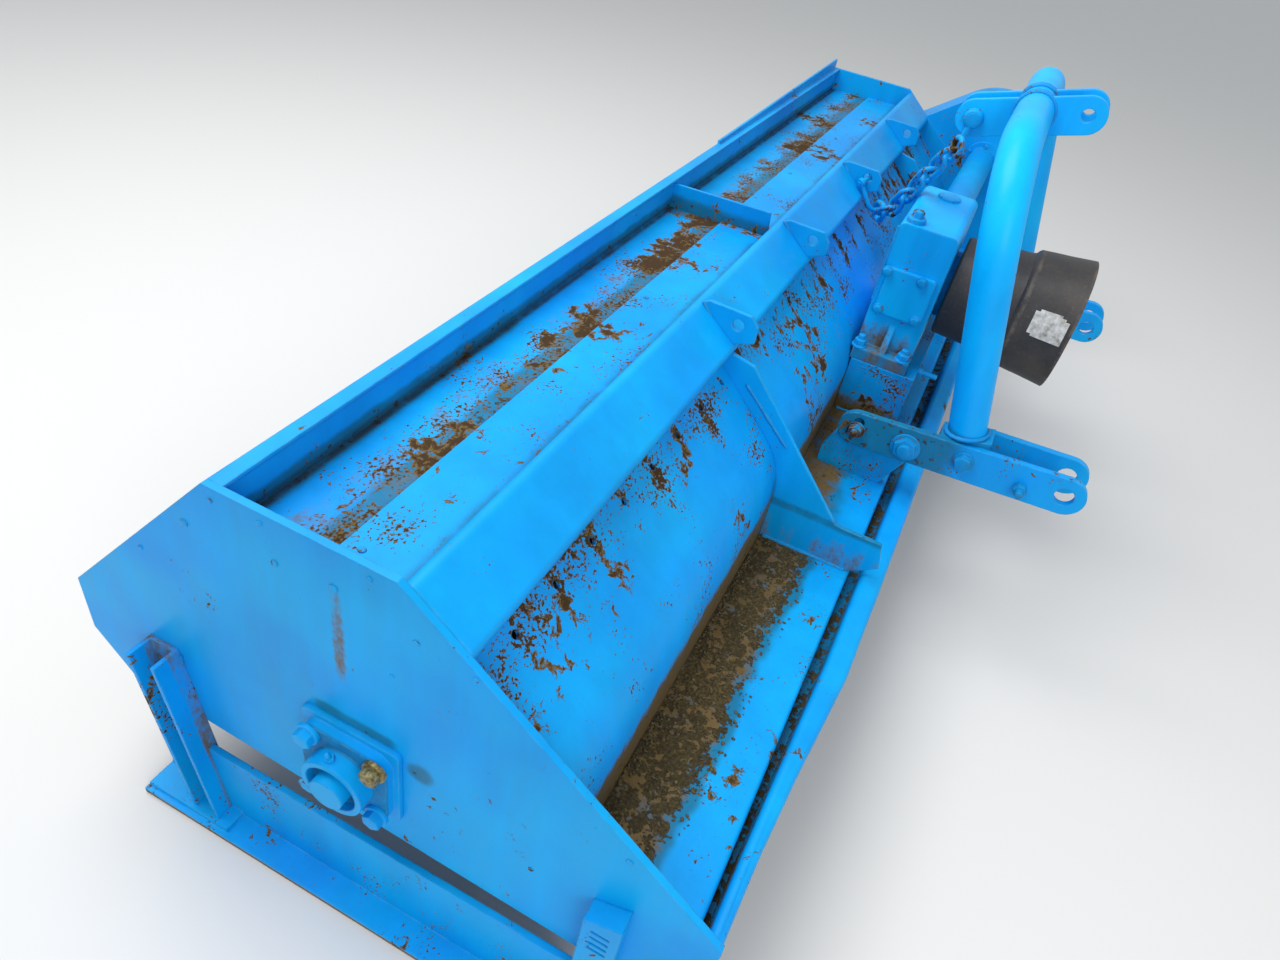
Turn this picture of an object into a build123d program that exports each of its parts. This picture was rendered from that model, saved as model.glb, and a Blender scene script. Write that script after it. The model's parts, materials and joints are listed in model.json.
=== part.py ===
from build123d import *
from math import atan2, cos, degrees, hypot, radians, sin, tan
import os

# A three-point flail mulcher, in millimetres. +X runs from the near end plate to the belt drive,
# +Y is rearward, -Y is the tractor side, +Z is up, and the skids stand on Z = 0.
# Section profiles are drawn from a datum line through the end plates: first value rearward, second value up.

os.makedirs("parts", exist_ok=True)

# Housing
housing_width = 2600.0
plate_thickness = 10.0
sheet = 6.0
datum_height = 245.0
top_z = 458.0
deck_rear_y = 152.0
beam_top_y = -105.0
nose_y = -546.0
nose_z = 113.0
nose_low_z = 10.0
tail_y = 435.0
tail_z = 141.0
tail_low_z = 40.0
keel_front = (-500.0, -72.0)
keel_rear = (375.0, -35.0)

# Trough, rear lip and apron
trough_z = 395.0
seam_y = 14.0
seam_lap = 40.0
lip_width = 22.0
apron_inset = 8.0
strip_x = 1540.0
strip_near_rise = 8.0
strip_far_rise = 26.0
apron_bend = 20.0

# Beam and front sheet
beam_face = 117.0
beam_return = 38.0
beam_wall = 8.0
beam_bend = 12.0
hood_fall = 0.985
hood_radius = 160.0
ledge_z = 30.0
ledge_rear_y = -334.0
ledge_front_y = -515.0
ledge_drop = 32.0
drain_radius = 6.0
drain_pitch = 95.0
drain_first = 100.0
drain_down = 32.0

# Front lip
lip_rise = 40.0
lip_front_y = -579.0
lip_groove = 18.0
lip_bend = 10.0

# Ears, ribs and divider
ear_thickness = 8.0
ear_x = (795.0, 1240.0, 1720.0, 2200.0)
rib_x = (795.0, 2200.0)
ear_hole_radius = 11.0
ear_hole_at = (-188.0, 431.0)
divider_x = 1252.0

# Rotor
rotor_at = (-34.0, 79.0)
rotor_tube_radius = 108.0
rotor_tube_wall = 12.0
rotor_end_gap = 9.0
end_disc = 16.0
end_disc_rim = 20.0
flail_reach = 276.0
flail_pin_circle = 158.0
flail_width = 70.0
flail_edge = 56.0
flail_count = 24
flail_turn = 105.0
flail_first_angle = 40.0
flail_pin_radius = 10.0
flail_eye_wall = 12.0
lug_thickness = 12.0
lug_radius = 26.0
shaft_radius = 25.0
running_gap = 0.3

# Rotor bearings
bearing_flange = 132.0
bearing_pad = 150.0
bearing_pad_thickness = 8.0
bearing_flange_thickness = 14.0
bearing_cup_radius = 47.0
bearing_cup_depth = 26.0
bearing_recess = 14.0
shaft_overhang = 58.0

# Skids
skid_width = 52.0
skid_wall = 10.0
skid_gap = 5.0
skid_rear_y = 345.0
skid_front_y = -440.0
skid_toe = 110.0
skid_near_rail = 157.0
skid_far_rail = 52.0
post_width = 50.0
post_depth = 42.0
post_wall = 6.0
foot_plate = 8.0
foot_plate_rear = 342.0
foot_plate_front = 186.0
foot_plate_width = 44.0
post_top_z = 105.0
post_top_y = 285.0
post_foot_y = 234.0
front_post_y = -412.0
front_post_depth = 30.0
front_post_near_top = 96.0
front_post_far_top = 44.0

# Gearbox and drive line
hitch_x = 1545.0
drive_y = -394.0
drive_z = 315.0
gearbox_width = 128.0
gearbox_low_z = 192.0
gearbox_high_z = 480.0
gearbox_near_x = 1365.0
gearbox_far_x = 1650.0
gearbox_corner = 16.0
foot_height = 26.0
foot_overhang = 34.0
cover_side = 106.0
cover_thickness = 10.0
pad_height = 16.0
pad_side = 36.0
pedestal_wall = 8.0
pedestal_front_y = -482.0
cross_tube_radius = 41.0
cross_tube_wall = 8.0
cross_flange_radius = 58.0
cross_flange = 12.0
input_shaft_radius = 17.5
input_boss_radius = 75.0
input_boss = 12.0
input_shaft_length = 190.0
input_seat = 36.0
spline_depth = 3.0
spline_width = 9.0
guard_rear_radius = 112.0
guard_collar_radius = 131.0
guard_step = 9.0
guard_mouth_radius = 143.0
guard_collar_y = -628.0
guard_mouth_y = -740.0
guard_wall = 5.0
guard_hole_radius = 40.0

# Belt guard
belt_upper_radius = 190.0
belt_lower_radius = 165.0
belt_back = 8.0
belt_depth = 142.0
belt_wall = 4.0

# Headstock
hitch_spread = 830.0
arm_gap = 62.0
arm_plate = 15.0
arm_side_gap = 1.0
lug_plate = 20.0
pivot = (-520.0, 150.0)
pivot_radius = 20.0
pivot_head = 12.0
stop_bolt = (-416.0, 147.0)
stop_bolt_radius = 9.0
stop_slot_radius = 11.0
lean_back = 8.0
arm_rear_radius = 38.0
foot_bolt = (-633.0, 167.0)
spacer_bolt = (-750.0, 158.0)
arm_bolt_radius = 10.0
arm_bolt_head = 8.0
lower_hole = (-828.0, 175.0)
lower_hole_radius = 18.7
arm_tip_radius = 40.0
arch_radius = 37.0
arch_wall = 7.0
arch_lean = radians(14.0)
arch_foot = (-618.0, 205.0)
arch_foot_front_y = -668.0
arch_foot_rear_y = -572.0
arch_foot_low_z = 127.0
arch_top_z = 717.0
arch_corner = 180.0
top_hole = (-586.0, 737.0)
top_hole_radius = 12.85
top_plate_radius = 36.0
top_gap = 56.0
top_plate = 12.0
chain_pin_at = (-384.0, 676.0)
chain_pin_radius = 12.0
chain_pin_head_radius = 20.0
chain_pin_head = 14.0

# Check chain
chain_wire_radius = 6.5
chain_inner_width = 24.0
chain_slack = 0.8
chain_count = 8
chain_flat_share = 0.64
chain_leaves_eye = (78.0, -60.0)
chain_meets_bow = (-69.0, -22.0)
chain_eye_length = 60.0
chain_eye_swing = radians(8.0)
shackle_length = 78.0
shackle_drop = 3.2
shackle_play = 1.4
shackle_half = 22.0
shackle_corner = 7.0
shackle_swing = radians(36.0)
shackle_twist = radians(38.0)
shackle_pin_radius = 5.5
shackle_wire_radius = 5.5
chain_trim = 0.3
chain_end_sides = 12

# Places worked out from the sizes
near_reach = shaft_overhang
far_reach = belt_back + belt_depth
front_reach = arm_tip_radius - lower_hole[0]
near_face_x = -(housing_width + far_reach - near_reach) / 2
datum_y = (front_reach - tail_y) / 2
inner_width = housing_width - 2 * plate_thickness
far_inner_x = housing_width - plate_thickness
slope = atan2(top_z - nose_z, beam_top_y - nose_y)
skid_floor = -datum_height
skid_top = skid_floor + skid_wall
post_foot_z = skid_top + foot_plate


def side(x):
    """The plane across the machine at x from the near end plate, drawn about the datum."""
    return Plane(origin=(near_face_x + x, datum_y, datum_height), x_dir=(0, 1, 0), z_dir=(1, 0, 0))


def on_rotor(x):
    """The plane across the machine at x, drawn about the rotor's axis."""
    centre = (near_face_x + x, datum_y + rotor_at[0], datum_height + rotor_at[1])
    return Plane(origin=centre, x_dir=(0, 1, 0), z_dir=(1, 0, 0))


def facing_front(x, y, z):
    """A plane that faces the tractor, its centre at x and at y, z from the datum."""
    return Plane(origin=(near_face_x + x, datum_y + y, datum_height + z), x_dir=(1, 0, 0), z_dir=(0, -1, 0))


def along_slope(start, run, inward=0.0):
    """A point run down the front slope from start, and inward square to it."""
    y = start[0] - run * cos(slope) + inward * sin(slope)
    z = start[1] - run * sin(slope) - inward * cos(slope)
    return (y, z)


def outline(x, points):
    """A closed straight-sided profile in the plane at x."""
    with BuildSketch(side(x)) as profile:
        Polygon(*points, align=None)
    return profile.sketch


def disc(x, centre, radius):
    """A round profile in the plane at x, about a point given from the datum."""
    with BuildSketch(side(x)) as profile:
        with Locations(centre):
            Circle(radius)
    return profile.sketch


def bent_strip(x, points, thickness, bend):
    """The section of a folded sheet that lies left of the path through points."""
    with BuildSketch(side(x)) as profile:
        with BuildLine():
            FilletPolyline(*points, radius=bend)
            offset(amount=thickness, side=Side.LEFT)
        make_face()
    return profile.sketch


def hull_of(x, first, first_radius, second, second_radius):
    """The outline round two discs, in the plane at x."""
    with BuildSketch(side(x)) as profile:
        with Locations(first):
            Circle(first_radius)
        with Locations(second):
            Circle(second_radius)
        make_hull()
    return profile.sketch


def finish(piece, label):
    """Labels a finished piece and writes its file."""
    piece.part.label = label
    export_step(piece.part, "parts/" + label + ".step")


# End plates
plate_outline = [
    (tail_y, tail_z), (deck_rear_y, top_z), (beam_top_y, top_z), (nose_y, nose_z),
    (nose_y, nose_low_z), keel_front, keel_rear, (tail_y, tail_low_z),
]
plate_bore = shaft_radius + 8

with BuildPart() as end_plate_near:
    extrude(outline(0, plate_outline), amount=plate_thickness)
    extrude(disc(0, rotor_at, plate_bore), amount=plate_thickness, mode=Mode.SUBTRACT)
finish(end_plate_near, "end_plate_near")

with BuildPart() as end_plate_far:
    extrude(outline(far_inner_x, plate_outline), amount=plate_thickness)
    extrude(disc(far_inner_x, rotor_at, plate_bore), amount=plate_thickness, mode=Mode.SUBTRACT)
finish(end_plate_far, "end_plate_far")

# Beam: a folded box whose face continues the end plates' front slope
beam_corner = (beam_top_y, top_z)
beam_lower = along_slope(beam_corner, beam_face)
beam_inner = along_slope(beam_corner, beam_face, beam_return)
beam_rear = (beam_top_y + beam_wall, trough_z + sheet)
with BuildPart() as hood_beam:
    with BuildSketch(side(plate_thickness)) as beam_section:
        Polygon(beam_corner, beam_lower, beam_inner, beam_rear, align=None)
        fillet(beam_section.vertices(), radius=beam_bend)
        offset(amount=-beam_wall, mode=Mode.SUBTRACT)
    extrude(amount=inner_width)
finish(hood_beam, "hood_beam")

# Front hood sheet, with its row of drain holes under the beam
hood_start = along_slope(beam_inner, -4, 1)
hood_knee = (ledge_rear_y, hood_start[1] - (hood_start[0] - ledge_rear_y) * hood_fall)
hood_end = (ledge_rear_y, ledge_z - sheet)
hood_path = [hood_start, hood_knee, hood_end]
drain_angle = atan2(hood_start[1] - hood_knee[1], hood_start[0] - hood_knee[0])
drain_y = hood_start[0] - drain_down * cos(drain_angle)
drain_z = hood_start[1] - drain_down * sin(drain_angle)
drain_total = int((inner_width - drain_first) // drain_pitch)
with BuildPart() as hood_sheet:
    extrude(bent_strip(plate_thickness, hood_path, sheet, hood_radius), amount=inner_width)
    drain_plane = Plane(
        origin=(near_face_x + drain_first, datum_y + drain_y, datum_height + drain_z),
        x_dir=(1, 0, 0),
        z_dir=(0, -sin(drain_angle), cos(drain_angle)),
    )
    with BuildSketch(drain_plane):
        with Locations(*[(step * drain_pitch, 0) for step in range(drain_total)]):
            Circle(drain_radius)
    extrude(amount=2 * sheet, both=True, mode=Mode.SUBTRACT)
finish(hood_sheet, "hood_sheet")

# Trough: two lapped sheets between the beam and the rear wall
wall_y = deck_rear_y - lip_width + sheet
lap_y = seam_y - seam_lap
with BuildPart() as trough_rear_sheet:
    extrude(outline(plate_thickness, [
        (lap_y, trough_z - sheet), (wall_y, trough_z - sheet), (wall_y, trough_z), (lap_y, trough_z)]),
        amount=inner_width)
finish(trough_rear_sheet, "trough_rear_sheet")

trough_front_y = beam_rear[0] + beam_wall
with BuildPart() as trough_front_sheet:
    extrude(outline(plate_thickness, [
        (trough_front_y, trough_z), (seam_y, trough_z), (seam_y, trough_z + sheet),
        (trough_front_y, trough_z + sheet)]), amount=inner_width)
finish(trough_front_sheet, "trough_front_sheet")

# Rear flange: an upright angle with its lip turned out over the apron
lip_under = top_z - sheet
with BuildPart() as rear_flange:
    extrude(outline(plate_thickness, [
        (wall_y, trough_z - sheet), (wall_y + sheet, trough_z - sheet), (wall_y + sheet, lip_under),
        (deck_rear_y, lip_under), (deck_rear_y, top_z), (wall_y - sheet, top_z), (wall_y - sheet, lip_under),
        (wall_y, lip_under)]), amount=inner_width)
    strip_run = far_inner_x - strip_x
    with BuildSketch(facing_front(strip_x, deck_rear_y, top_z)):
        Polygon((0, -sheet), (strip_run, -sheet), (strip_run, strip_far_rise), (0, strip_near_rise), align=None)
    extrude(amount=sheet)
finish(rear_flange, "rear_flange")

# Rear apron, parallel to the end plates' tail
apron_fall = (top_z - tail_z) / (tail_y - deck_rear_y)
apron_top = (wall_y, lip_under - apron_inset)
apron_y = tail_y - apron_inset
apron_knee = (apron_y, apron_top[1] - (apron_y - wall_y) * apron_fall)
with BuildPart() as rear_apron:
    extrude(bent_strip(plate_thickness, [(apron_y, tail_low_z), apron_knee, apron_top], sheet, apron_bend),
            amount=inner_width)
    extrude(outline(plate_thickness, [(0, 0), (wall_y + sheet, 0), (wall_y + sheet, top_z), (0, top_z)]),
            amount=inner_width, mode=Mode.SUBTRACT)
finish(rear_apron, "rear_apron")

# Front ledge and the lip before it
with BuildPart() as front_ledge:
    ledge_path = [(ledge_rear_y, ledge_z), (ledge_front_y, ledge_z), (ledge_front_y, ledge_z - ledge_drop)]
    extrude(bent_strip(plate_thickness, ledge_path, sheet, sheet + 2), amount=inner_width)
finish(front_ledge, "front_ledge")

lip_floor = ledge_z - ledge_drop
lip_back = ledge_front_y - lip_groove
with BuildPart() as front_lip:
    lip_path = [
        (ledge_front_y + 2 * sheet, lip_floor), (lip_back, lip_floor), (lip_back - 6, lip_floor + lip_rise),
        (lip_front_y, lip_floor + lip_rise - 6), (lip_front_y, lip_floor - 2 * sheet),
    ]
    extrude(bent_strip(plate_thickness, lip_path, sheet, lip_bend), amount=inner_width)
finish(front_lip, "front_lip")

# Ears welded along the beam's face
ear_top_rear = along_slope(beam_corner, beam_bend + 4)
ear_low_rear = along_slope(beam_corner, beam_face - beam_bend - 1)
ear_front_y = ear_hole_at[0] - 34
with BuildPart() as beam_ears:
    for x in ear_x:
        with BuildSketch(side(x)):
            Polygon(ear_top_rear, (ear_top_rear[0] - 14, top_z - 3), (ear_front_y + 15, top_z - 5),
                    (ear_front_y, top_z - 22), (ear_front_y, top_z - 50), ear_low_rear, align=None)
            with Locations(ear_hole_at):
                Circle(ear_hole_radius, mode=Mode.SUBTRACT)
        extrude(amount=ear_thickness)
finish(beam_ears, "beam_ears")

# Ribs between the beam and the ledge, with their feet
rib_outline = [
    along_slope(beam_corner, beam_face, beam_bend), (-234, 367), (-459, ledge_z + 90), (-548, ledge_z + 88),
    (-560, ledge_z + 36), (-532, ledge_z + 15), (ledge_front_y + 8, ledge_z), (ledge_rear_y, ledge_z),
    (0, ledge_z), along_slope(beam_corner, beam_face, beam_return - beam_bend),
]
with BuildSketch(side(0)) as behind_hood:
    with BuildLine():
        FilletPolyline(*hood_path, radius=hood_radius)
        Polyline(hood_end, (0, hood_end[1]), (0, hood_start[1]), hood_start)
    make_face()

with BuildPart() as front_ribs:
    for x in rib_x:
        extrude(outline(x, rib_outline), amount=ear_thickness)
    extrude(behind_hood.sketch, amount=housing_width, mode=Mode.SUBTRACT)
finish(front_ribs, "front_ribs")

# Divider across the trough
with BuildPart() as trough_divider:
    extrude(outline(divider_x, [
        (trough_front_y, trough_z + sheet), (seam_y, trough_z + sheet), (seam_y, trough_z), (wall_y, trough_z),
        (wall_y, lip_under - sheet), (trough_front_y + 4, top_z - sheet)]), amount=sheet)
finish(trough_divider, "trough_divider")

# Rotor: tube with end discs and stub shafts
tube_start = plate_thickness + rotor_end_gap
tube_length = housing_width - 2 * tube_start
far_seat = housing_width + belt_back
with BuildPart() as rotor_tube:
    extrude(disc(tube_start, rotor_at, rotor_tube_radius), amount=tube_length)
    for x in (tube_start, tube_start + tube_length - end_disc):
        extrude(disc(x, rotor_at, rotor_tube_radius + end_disc_rim), amount=end_disc)
    extrude(disc(tube_start + end_disc, rotor_at, rotor_tube_radius - rotor_tube_wall),
            amount=tube_length - 2 * end_disc, mode=Mode.SUBTRACT)
    extrude(disc(-shaft_overhang, rotor_at, shaft_radius), amount=shaft_overhang + tube_start)
    extrude(disc(tube_start + tube_length, rotor_at, shaft_radius),
            amount=tube_start + belt_back + shaft_overhang)
finish(rotor_tube, "rotor_tube")

# Lug pairs on a helix round the tube, each with its pin, and a hammer swinging on each pin
flail_start = tube_start + end_disc + flail_width
flail_pitch = (housing_width - 2 * flail_start) / (flail_count - 1)
lug_offset = flail_width / 2 + running_gap


def turned(x, place):
    """The plane at x whose second axis points out of the tube at the flail's place on the helix."""
    angle = radians(flail_first_angle + flail_turn * place)
    return Plane(origin=on_rotor(x).origin, x_dir=(0, sin(angle), -cos(angle)), z_dir=(1, 0, 0))


with BuildPart() as rotor_lugs:
    for place in range(flail_count):
        middle = flail_start + place * flail_pitch
        for x in (middle - lug_offset - lug_thickness, middle + lug_offset):
            with BuildSketch(turned(x, place)):
                with Locations((0, flail_pin_circle)):
                    Circle(lug_radius)
                with Locations((0, rotor_tube_radius)):
                    Rectangle(2.6 * lug_radius, 20)
                make_hull()
            extrude(amount=lug_thickness)
        with BuildSketch(turned(middle - lug_offset, place)):
            with Locations((0, flail_pin_circle)):
                Circle(flail_pin_radius)
        extrude(amount=2 * lug_offset)
    extrude(disc(0, rotor_at, rotor_tube_radius), amount=housing_width, mode=Mode.SUBTRACT)
finish(rotor_lugs, "rotor_lugs")

with BuildPart() as flails:
    for place in range(flail_count):
        middle = flail_start + place * flail_pitch
        with BuildSketch(turned(middle - flail_width / 2, place)):
            with Locations((0, flail_pin_circle)):
                Circle(flail_pin_radius + flail_eye_wall)
            with Locations((0, flail_reach - 12)):
                Rectangle(flail_edge, 20)
            make_hull()
            with Locations((0, flail_pin_circle)):
                Circle(flail_pin_radius + running_gap, mode=Mode.SUBTRACT)
        extrude(amount=flail_width)
finish(flails, "flails")

# Rotor bearings: a square flange and a cup round the shaft end, on a pad at the near side


def bearing(pad_x, pad, outward):
    """A flanged bearing on the plane at pad_x: optional pad thickness, flange, then cup."""
    bore = shaft_radius + running_gap
    with BuildPart() as piece:
        if pad > 0:
            with BuildSketch(on_rotor(pad_x)):
                RectangleRounded(bearing_pad, bearing_pad, 8)
                Circle(bore, mode=Mode.SUBTRACT)
            extrude(amount=outward * pad)
        with BuildSketch(on_rotor(pad_x + outward * pad)):
            RectangleRounded(bearing_flange, bearing_flange, 24)
            Circle(bore, mode=Mode.SUBTRACT)
        extrude(amount=outward * bearing_flange_thickness)
        cup_x = pad_x + outward * (pad + bearing_flange_thickness)
        with BuildSketch(on_rotor(cup_x)):
            Circle(bearing_cup_radius)
            Circle(bore, mode=Mode.SUBTRACT)
        extrude(amount=outward * bearing_cup_depth)
        with BuildSketch(on_rotor(cup_x + outward * bearing_cup_depth)):
            Circle(bearing_cup_radius - 9)
            Circle(bore, mode=Mode.SUBTRACT)
        extrude(amount=-outward * bearing_recess, mode=Mode.SUBTRACT)
    return piece


bearing_near = bearing(0, bearing_pad_thickness, -1)
finish(bearing_near, "bearing_near")
bearing_far = bearing(far_seat, 0, 1)
finish(bearing_far, "bearing_far")


# Skids: a flat shoe with an upturned toe, an upright rail and a foot plate, under each end plate
def post_front(z):
    """The front edge of the rear post at height z, which the rail butts against."""
    return post_foot_y - post_width / 2 + (post_top_y - post_foot_y) * (z - post_foot_z) / (post_top_z - post_foot_z)


def runner(start_x, outward, rail):
    """A skid runner whose inner face is at start_x, with a rail of the given height."""
    rail_top = skid_floor + rail
    with BuildPart() as piece:
        with BuildSketch(side(start_x)):
            with BuildLine():
                FilletPolyline((skid_rear_y, skid_floor), (skid_front_y, skid_floor),
                               (skid_front_y - skid_toe, skid_floor + skid_toe), radius=skid_toe)
                offset(amount=skid_wall, side=Side.RIGHT)
            make_face()
        extrude(amount=outward * skid_width)
        with BuildSketch(side(start_x)):
            Polygon((post_front(skid_top - 1), skid_top - 1), (skid_front_y + 30, skid_top - 1),
                    (skid_front_y - 10, rail_top), (post_front(rail_top), rail_top), align=None)
        extrude(amount=outward * skid_wall)
        extrude(outline(start_x, [
            (foot_plate_rear, skid_top), (foot_plate_front, skid_top), (foot_plate_front, post_foot_z),
            (foot_plate_rear, post_foot_z)]), amount=outward * foot_plate_width)
    return piece


skid_near = runner(-skid_gap, -1, skid_near_rail)
finish(skid_near, "skid_near")
skid_far = runner(housing_width + skid_gap, 1, skid_far_rail)
finish(skid_far, "skid_far")


def leaning_post(face_x, outward):
    """The rear post: a channel open outward, leaning, from the runner's foot plate up the end plate."""
    half = post_width / 2
    web = [(post_foot_y - half, post_foot_z), (post_foot_y + half, post_foot_z),
           (post_top_y + half, post_top_z), (post_top_y - half, post_top_z)]
    with BuildPart() as piece:
        extrude(outline(face_x, web), amount=outward * post_wall)
        for edge in (-half, half - post_wall):
            extrude(outline(face_x, [
                (post_foot_y + edge, post_foot_z), (post_foot_y + edge + post_wall, post_foot_z),
                (post_top_y + edge + post_wall, post_top_z), (post_top_y + edge, post_top_z)]),
                amount=outward * post_depth)
    return piece


skid_post_near = leaning_post(0, -1)
finish(skid_post_near, "skid_post_near")
skid_post_far = leaning_post(housing_width, 1)
finish(skid_post_far, "skid_post_far")


def front_post(face_x, outward, foot_z, head_z):
    """The slotted front adjuster, with a wedge top, standing on the runner's rail."""
    half = post_width / 2
    with BuildPart() as piece:
        extrude(outline(face_x, [
            (front_post_y - half, foot_z), (front_post_y + half, foot_z), (front_post_y + half, head_z - 18),
            (front_post_y - half, head_z)]), amount=outward * front_post_depth)
        slot_run = post_width - 24
        for step in range(4):
            with BuildSketch(side(face_x + outward * front_post_depth)):
                with Locations((front_post_y, head_z - 34 - 14 * step)):
                    SlotOverall(slot_run, 6)
            extrude(amount=-outward * 8, mode=Mode.SUBTRACT)
    return piece


skid_adjuster_near = front_post(0, -1, skid_floor + skid_near_rail, front_post_near_top)
finish(skid_adjuster_near, "skid_adjuster_near")
skid_adjuster_far = front_post(housing_width, 1, skid_floor + skid_far_rail, front_post_far_top)
finish(skid_adjuster_far, "skid_adjuster_far")

# Gearbox on its foot, with the input boss and the cross tube's flange
body_low = gearbox_low_z - foot_height
gearbox_length = gearbox_far_x - gearbox_near_x
body_height = gearbox_high_z - gearbox_low_z
body_front_y = drive_y - gearbox_width / 2
with BuildPart() as gearbox_housing:
    with BuildSketch(side(gearbox_near_x)):
        with Locations((drive_y, gearbox_low_z + body_height / 2)):
            RectangleRounded(gearbox_width, body_height, gearbox_corner)
    extrude(amount=gearbox_length)
    with BuildSketch(side(gearbox_near_x - foot_overhang)):
        with Locations((drive_y, gearbox_low_z - foot_height / 2 + 1)):
            Rectangle(gearbox_width, foot_height + 2)
    extrude(amount=gearbox_length + 2 * foot_overhang)
    with BuildSketch(facing_front(hitch_x, body_front_y, drive_z)):
        Circle(input_boss_radius)
    extrude(amount=input_boss)
    with BuildSketch(facing_front(hitch_x, body_front_y - input_boss, drive_z)):
        Circle(input_shaft_radius + running_gap)
    extrude(amount=-(input_seat + input_boss), mode=Mode.SUBTRACT)
    extrude(disc(gearbox_far_x, (drive_y, drive_z), cross_flange_radius), amount=cross_flange)
    gearbox_rib = (gearbox_near_x - foot_overhang + 10, gearbox_low_z)
    with BuildSketch(Plane(origin=(near_face_x, datum_y + drive_y + 7, datum_height),
                           x_dir=(1, 0, 0), z_dir=(0, -1, 0))):
        Polygon(gearbox_rib, (gearbox_near_x + 1, gearbox_low_z), (gearbox_near_x + 1, gearbox_low_z + 66),
                align=None)
    extrude(amount=14)
finish(gearbox_housing, "gearbox_housing")

with BuildPart() as gearbox_cover:
    with BuildSketch(side(gearbox_near_x)):
        with Locations((drive_y, drive_z + 16)):
            RectangleRounded(cover_side, cover_side, 8)
    extrude(amount=-cover_thickness)
finish(gearbox_cover, "gearbox_cover")

# Gearbox mount: a slide pad on a folded pedestal that stands on the ledge
pad_low = body_low - pad_height
mount_near_x = gearbox_near_x - pad_side
mount_far_x = gearbox_far_x + pad_side
with BuildPart() as gearbox_mount:
    extrude(outline(mount_near_x, [
        (ledge_rear_y - 1, pad_low), (ledge_rear_y - 1, body_low), (pedestal_front_y, body_low),
        (pedestal_front_y, pad_low)]), amount=mount_far_x - mount_near_x)
    with BuildSketch(side(mount_near_x)):
        with BuildLine():
            Polyline((ledge_rear_y - 1, ledge_z), (ledge_rear_y - 1, pad_low), (pedestal_front_y, pad_low),
                     (pedestal_front_y, ledge_z))
            offset(amount=pedestal_wall, side=Side.LEFT)
        make_face()
    extrude(amount=mount_far_x - mount_near_x)
    for x in (mount_near_x, mount_far_x - pedestal_wall):
        extrude(outline(x, [
            (ledge_rear_y - 1, ledge_z), (ledge_rear_y - 1, pad_low), (pedestal_front_y, pad_low),
            (pedestal_front_y, ledge_z)]), amount=pedestal_wall)
finish(gearbox_mount, "gearbox_mount")

# Cross tube from the gearbox to the belt guard
with BuildPart() as cross_tube:
    tube_from = gearbox_far_x + cross_flange
    extrude(disc(tube_from, (drive_y, drive_z), cross_tube_radius), amount=housing_width - tube_from)
    for x in (tube_from, housing_width - cross_flange):
        extrude(disc(x, (drive_y, drive_z), cross_flange_radius), amount=cross_flange)
    extrude(disc(tube_from, (drive_y, drive_z), cross_tube_radius - cross_tube_wall),
            amount=housing_width - tube_from, mode=Mode.SUBTRACT)
finish(cross_tube, "cross_tube")

# Belt guard: a back plate on the far end plate and a cover over the pulleys
with BuildPart() as belt_guard_back:
    extrude(hull_of(housing_width, (drive_y, drive_z), belt_upper_radius, rotor_at, belt_lower_radius),
            amount=belt_back)
    extrude(disc(housing_width, rotor_at, plate_bore), amount=belt_back, mode=Mode.SUBTRACT)
finish(belt_guard_back, "belt_guard_back")

with BuildPart() as belt_guard_cover:
    extrude(hull_of(far_seat, (drive_y, drive_z), belt_upper_radius, rotor_at, belt_lower_radius),
            amount=belt_depth)
    extrude(hull_of(far_seat, (drive_y, drive_z), belt_upper_radius - belt_wall, rotor_at,
                    belt_lower_radius - belt_wall), amount=belt_depth - belt_wall, mode=Mode.SUBTRACT)
finish(belt_guard_cover, "belt_guard_cover")

# Input shaft and its bell guard
boss_face_y = body_front_y - input_boss
with BuildPart() as pto_shaft:
    with BuildSketch(facing_front(hitch_x, boss_face_y + input_seat, drive_z)):
        Circle(input_shaft_radius)
    extrude(amount=input_shaft_length)
    with BuildSketch(facing_front(hitch_x, boss_face_y - 3 * input_shaft_radius, drive_z)):
        with PolarLocations(input_shaft_radius, 6):
            Rectangle(2 * spline_depth, spline_width)
    extrude(amount=input_shaft_length, mode=Mode.SUBTRACT)
finish(pto_shaft, "pto_shaft")

with BuildPart() as pto_guard:
    guard_plane = Plane(origin=(near_face_x + hitch_x, datum_y, datum_height + drive_z),
                        x_dir=(1, 0, 0), z_dir=(0, 0, 1))
    with BuildSketch(guard_plane):
        Polygon(
            (guard_hole_radius, boss_face_y), (guard_rear_radius, boss_face_y),
            (guard_collar_radius - guard_step, guard_collar_y + guard_step), (guard_collar_radius, guard_collar_y),
            (guard_mouth_radius, guard_mouth_y), (guard_mouth_radius - guard_wall, guard_mouth_y),
            (guard_collar_radius - guard_wall, guard_collar_y),
            (guard_collar_radius - guard_step - guard_wall, guard_collar_y + guard_step + 2),
            (guard_rear_radius - guard_wall, boss_face_y - guard_wall),
            (guard_hole_radius, boss_face_y - guard_wall), align=None)
    revolve(axis=Axis((near_face_x + hitch_x, 0, datum_height + drive_z), (0, 1, 0)))
finish(pto_guard, "pto_guard")

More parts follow.
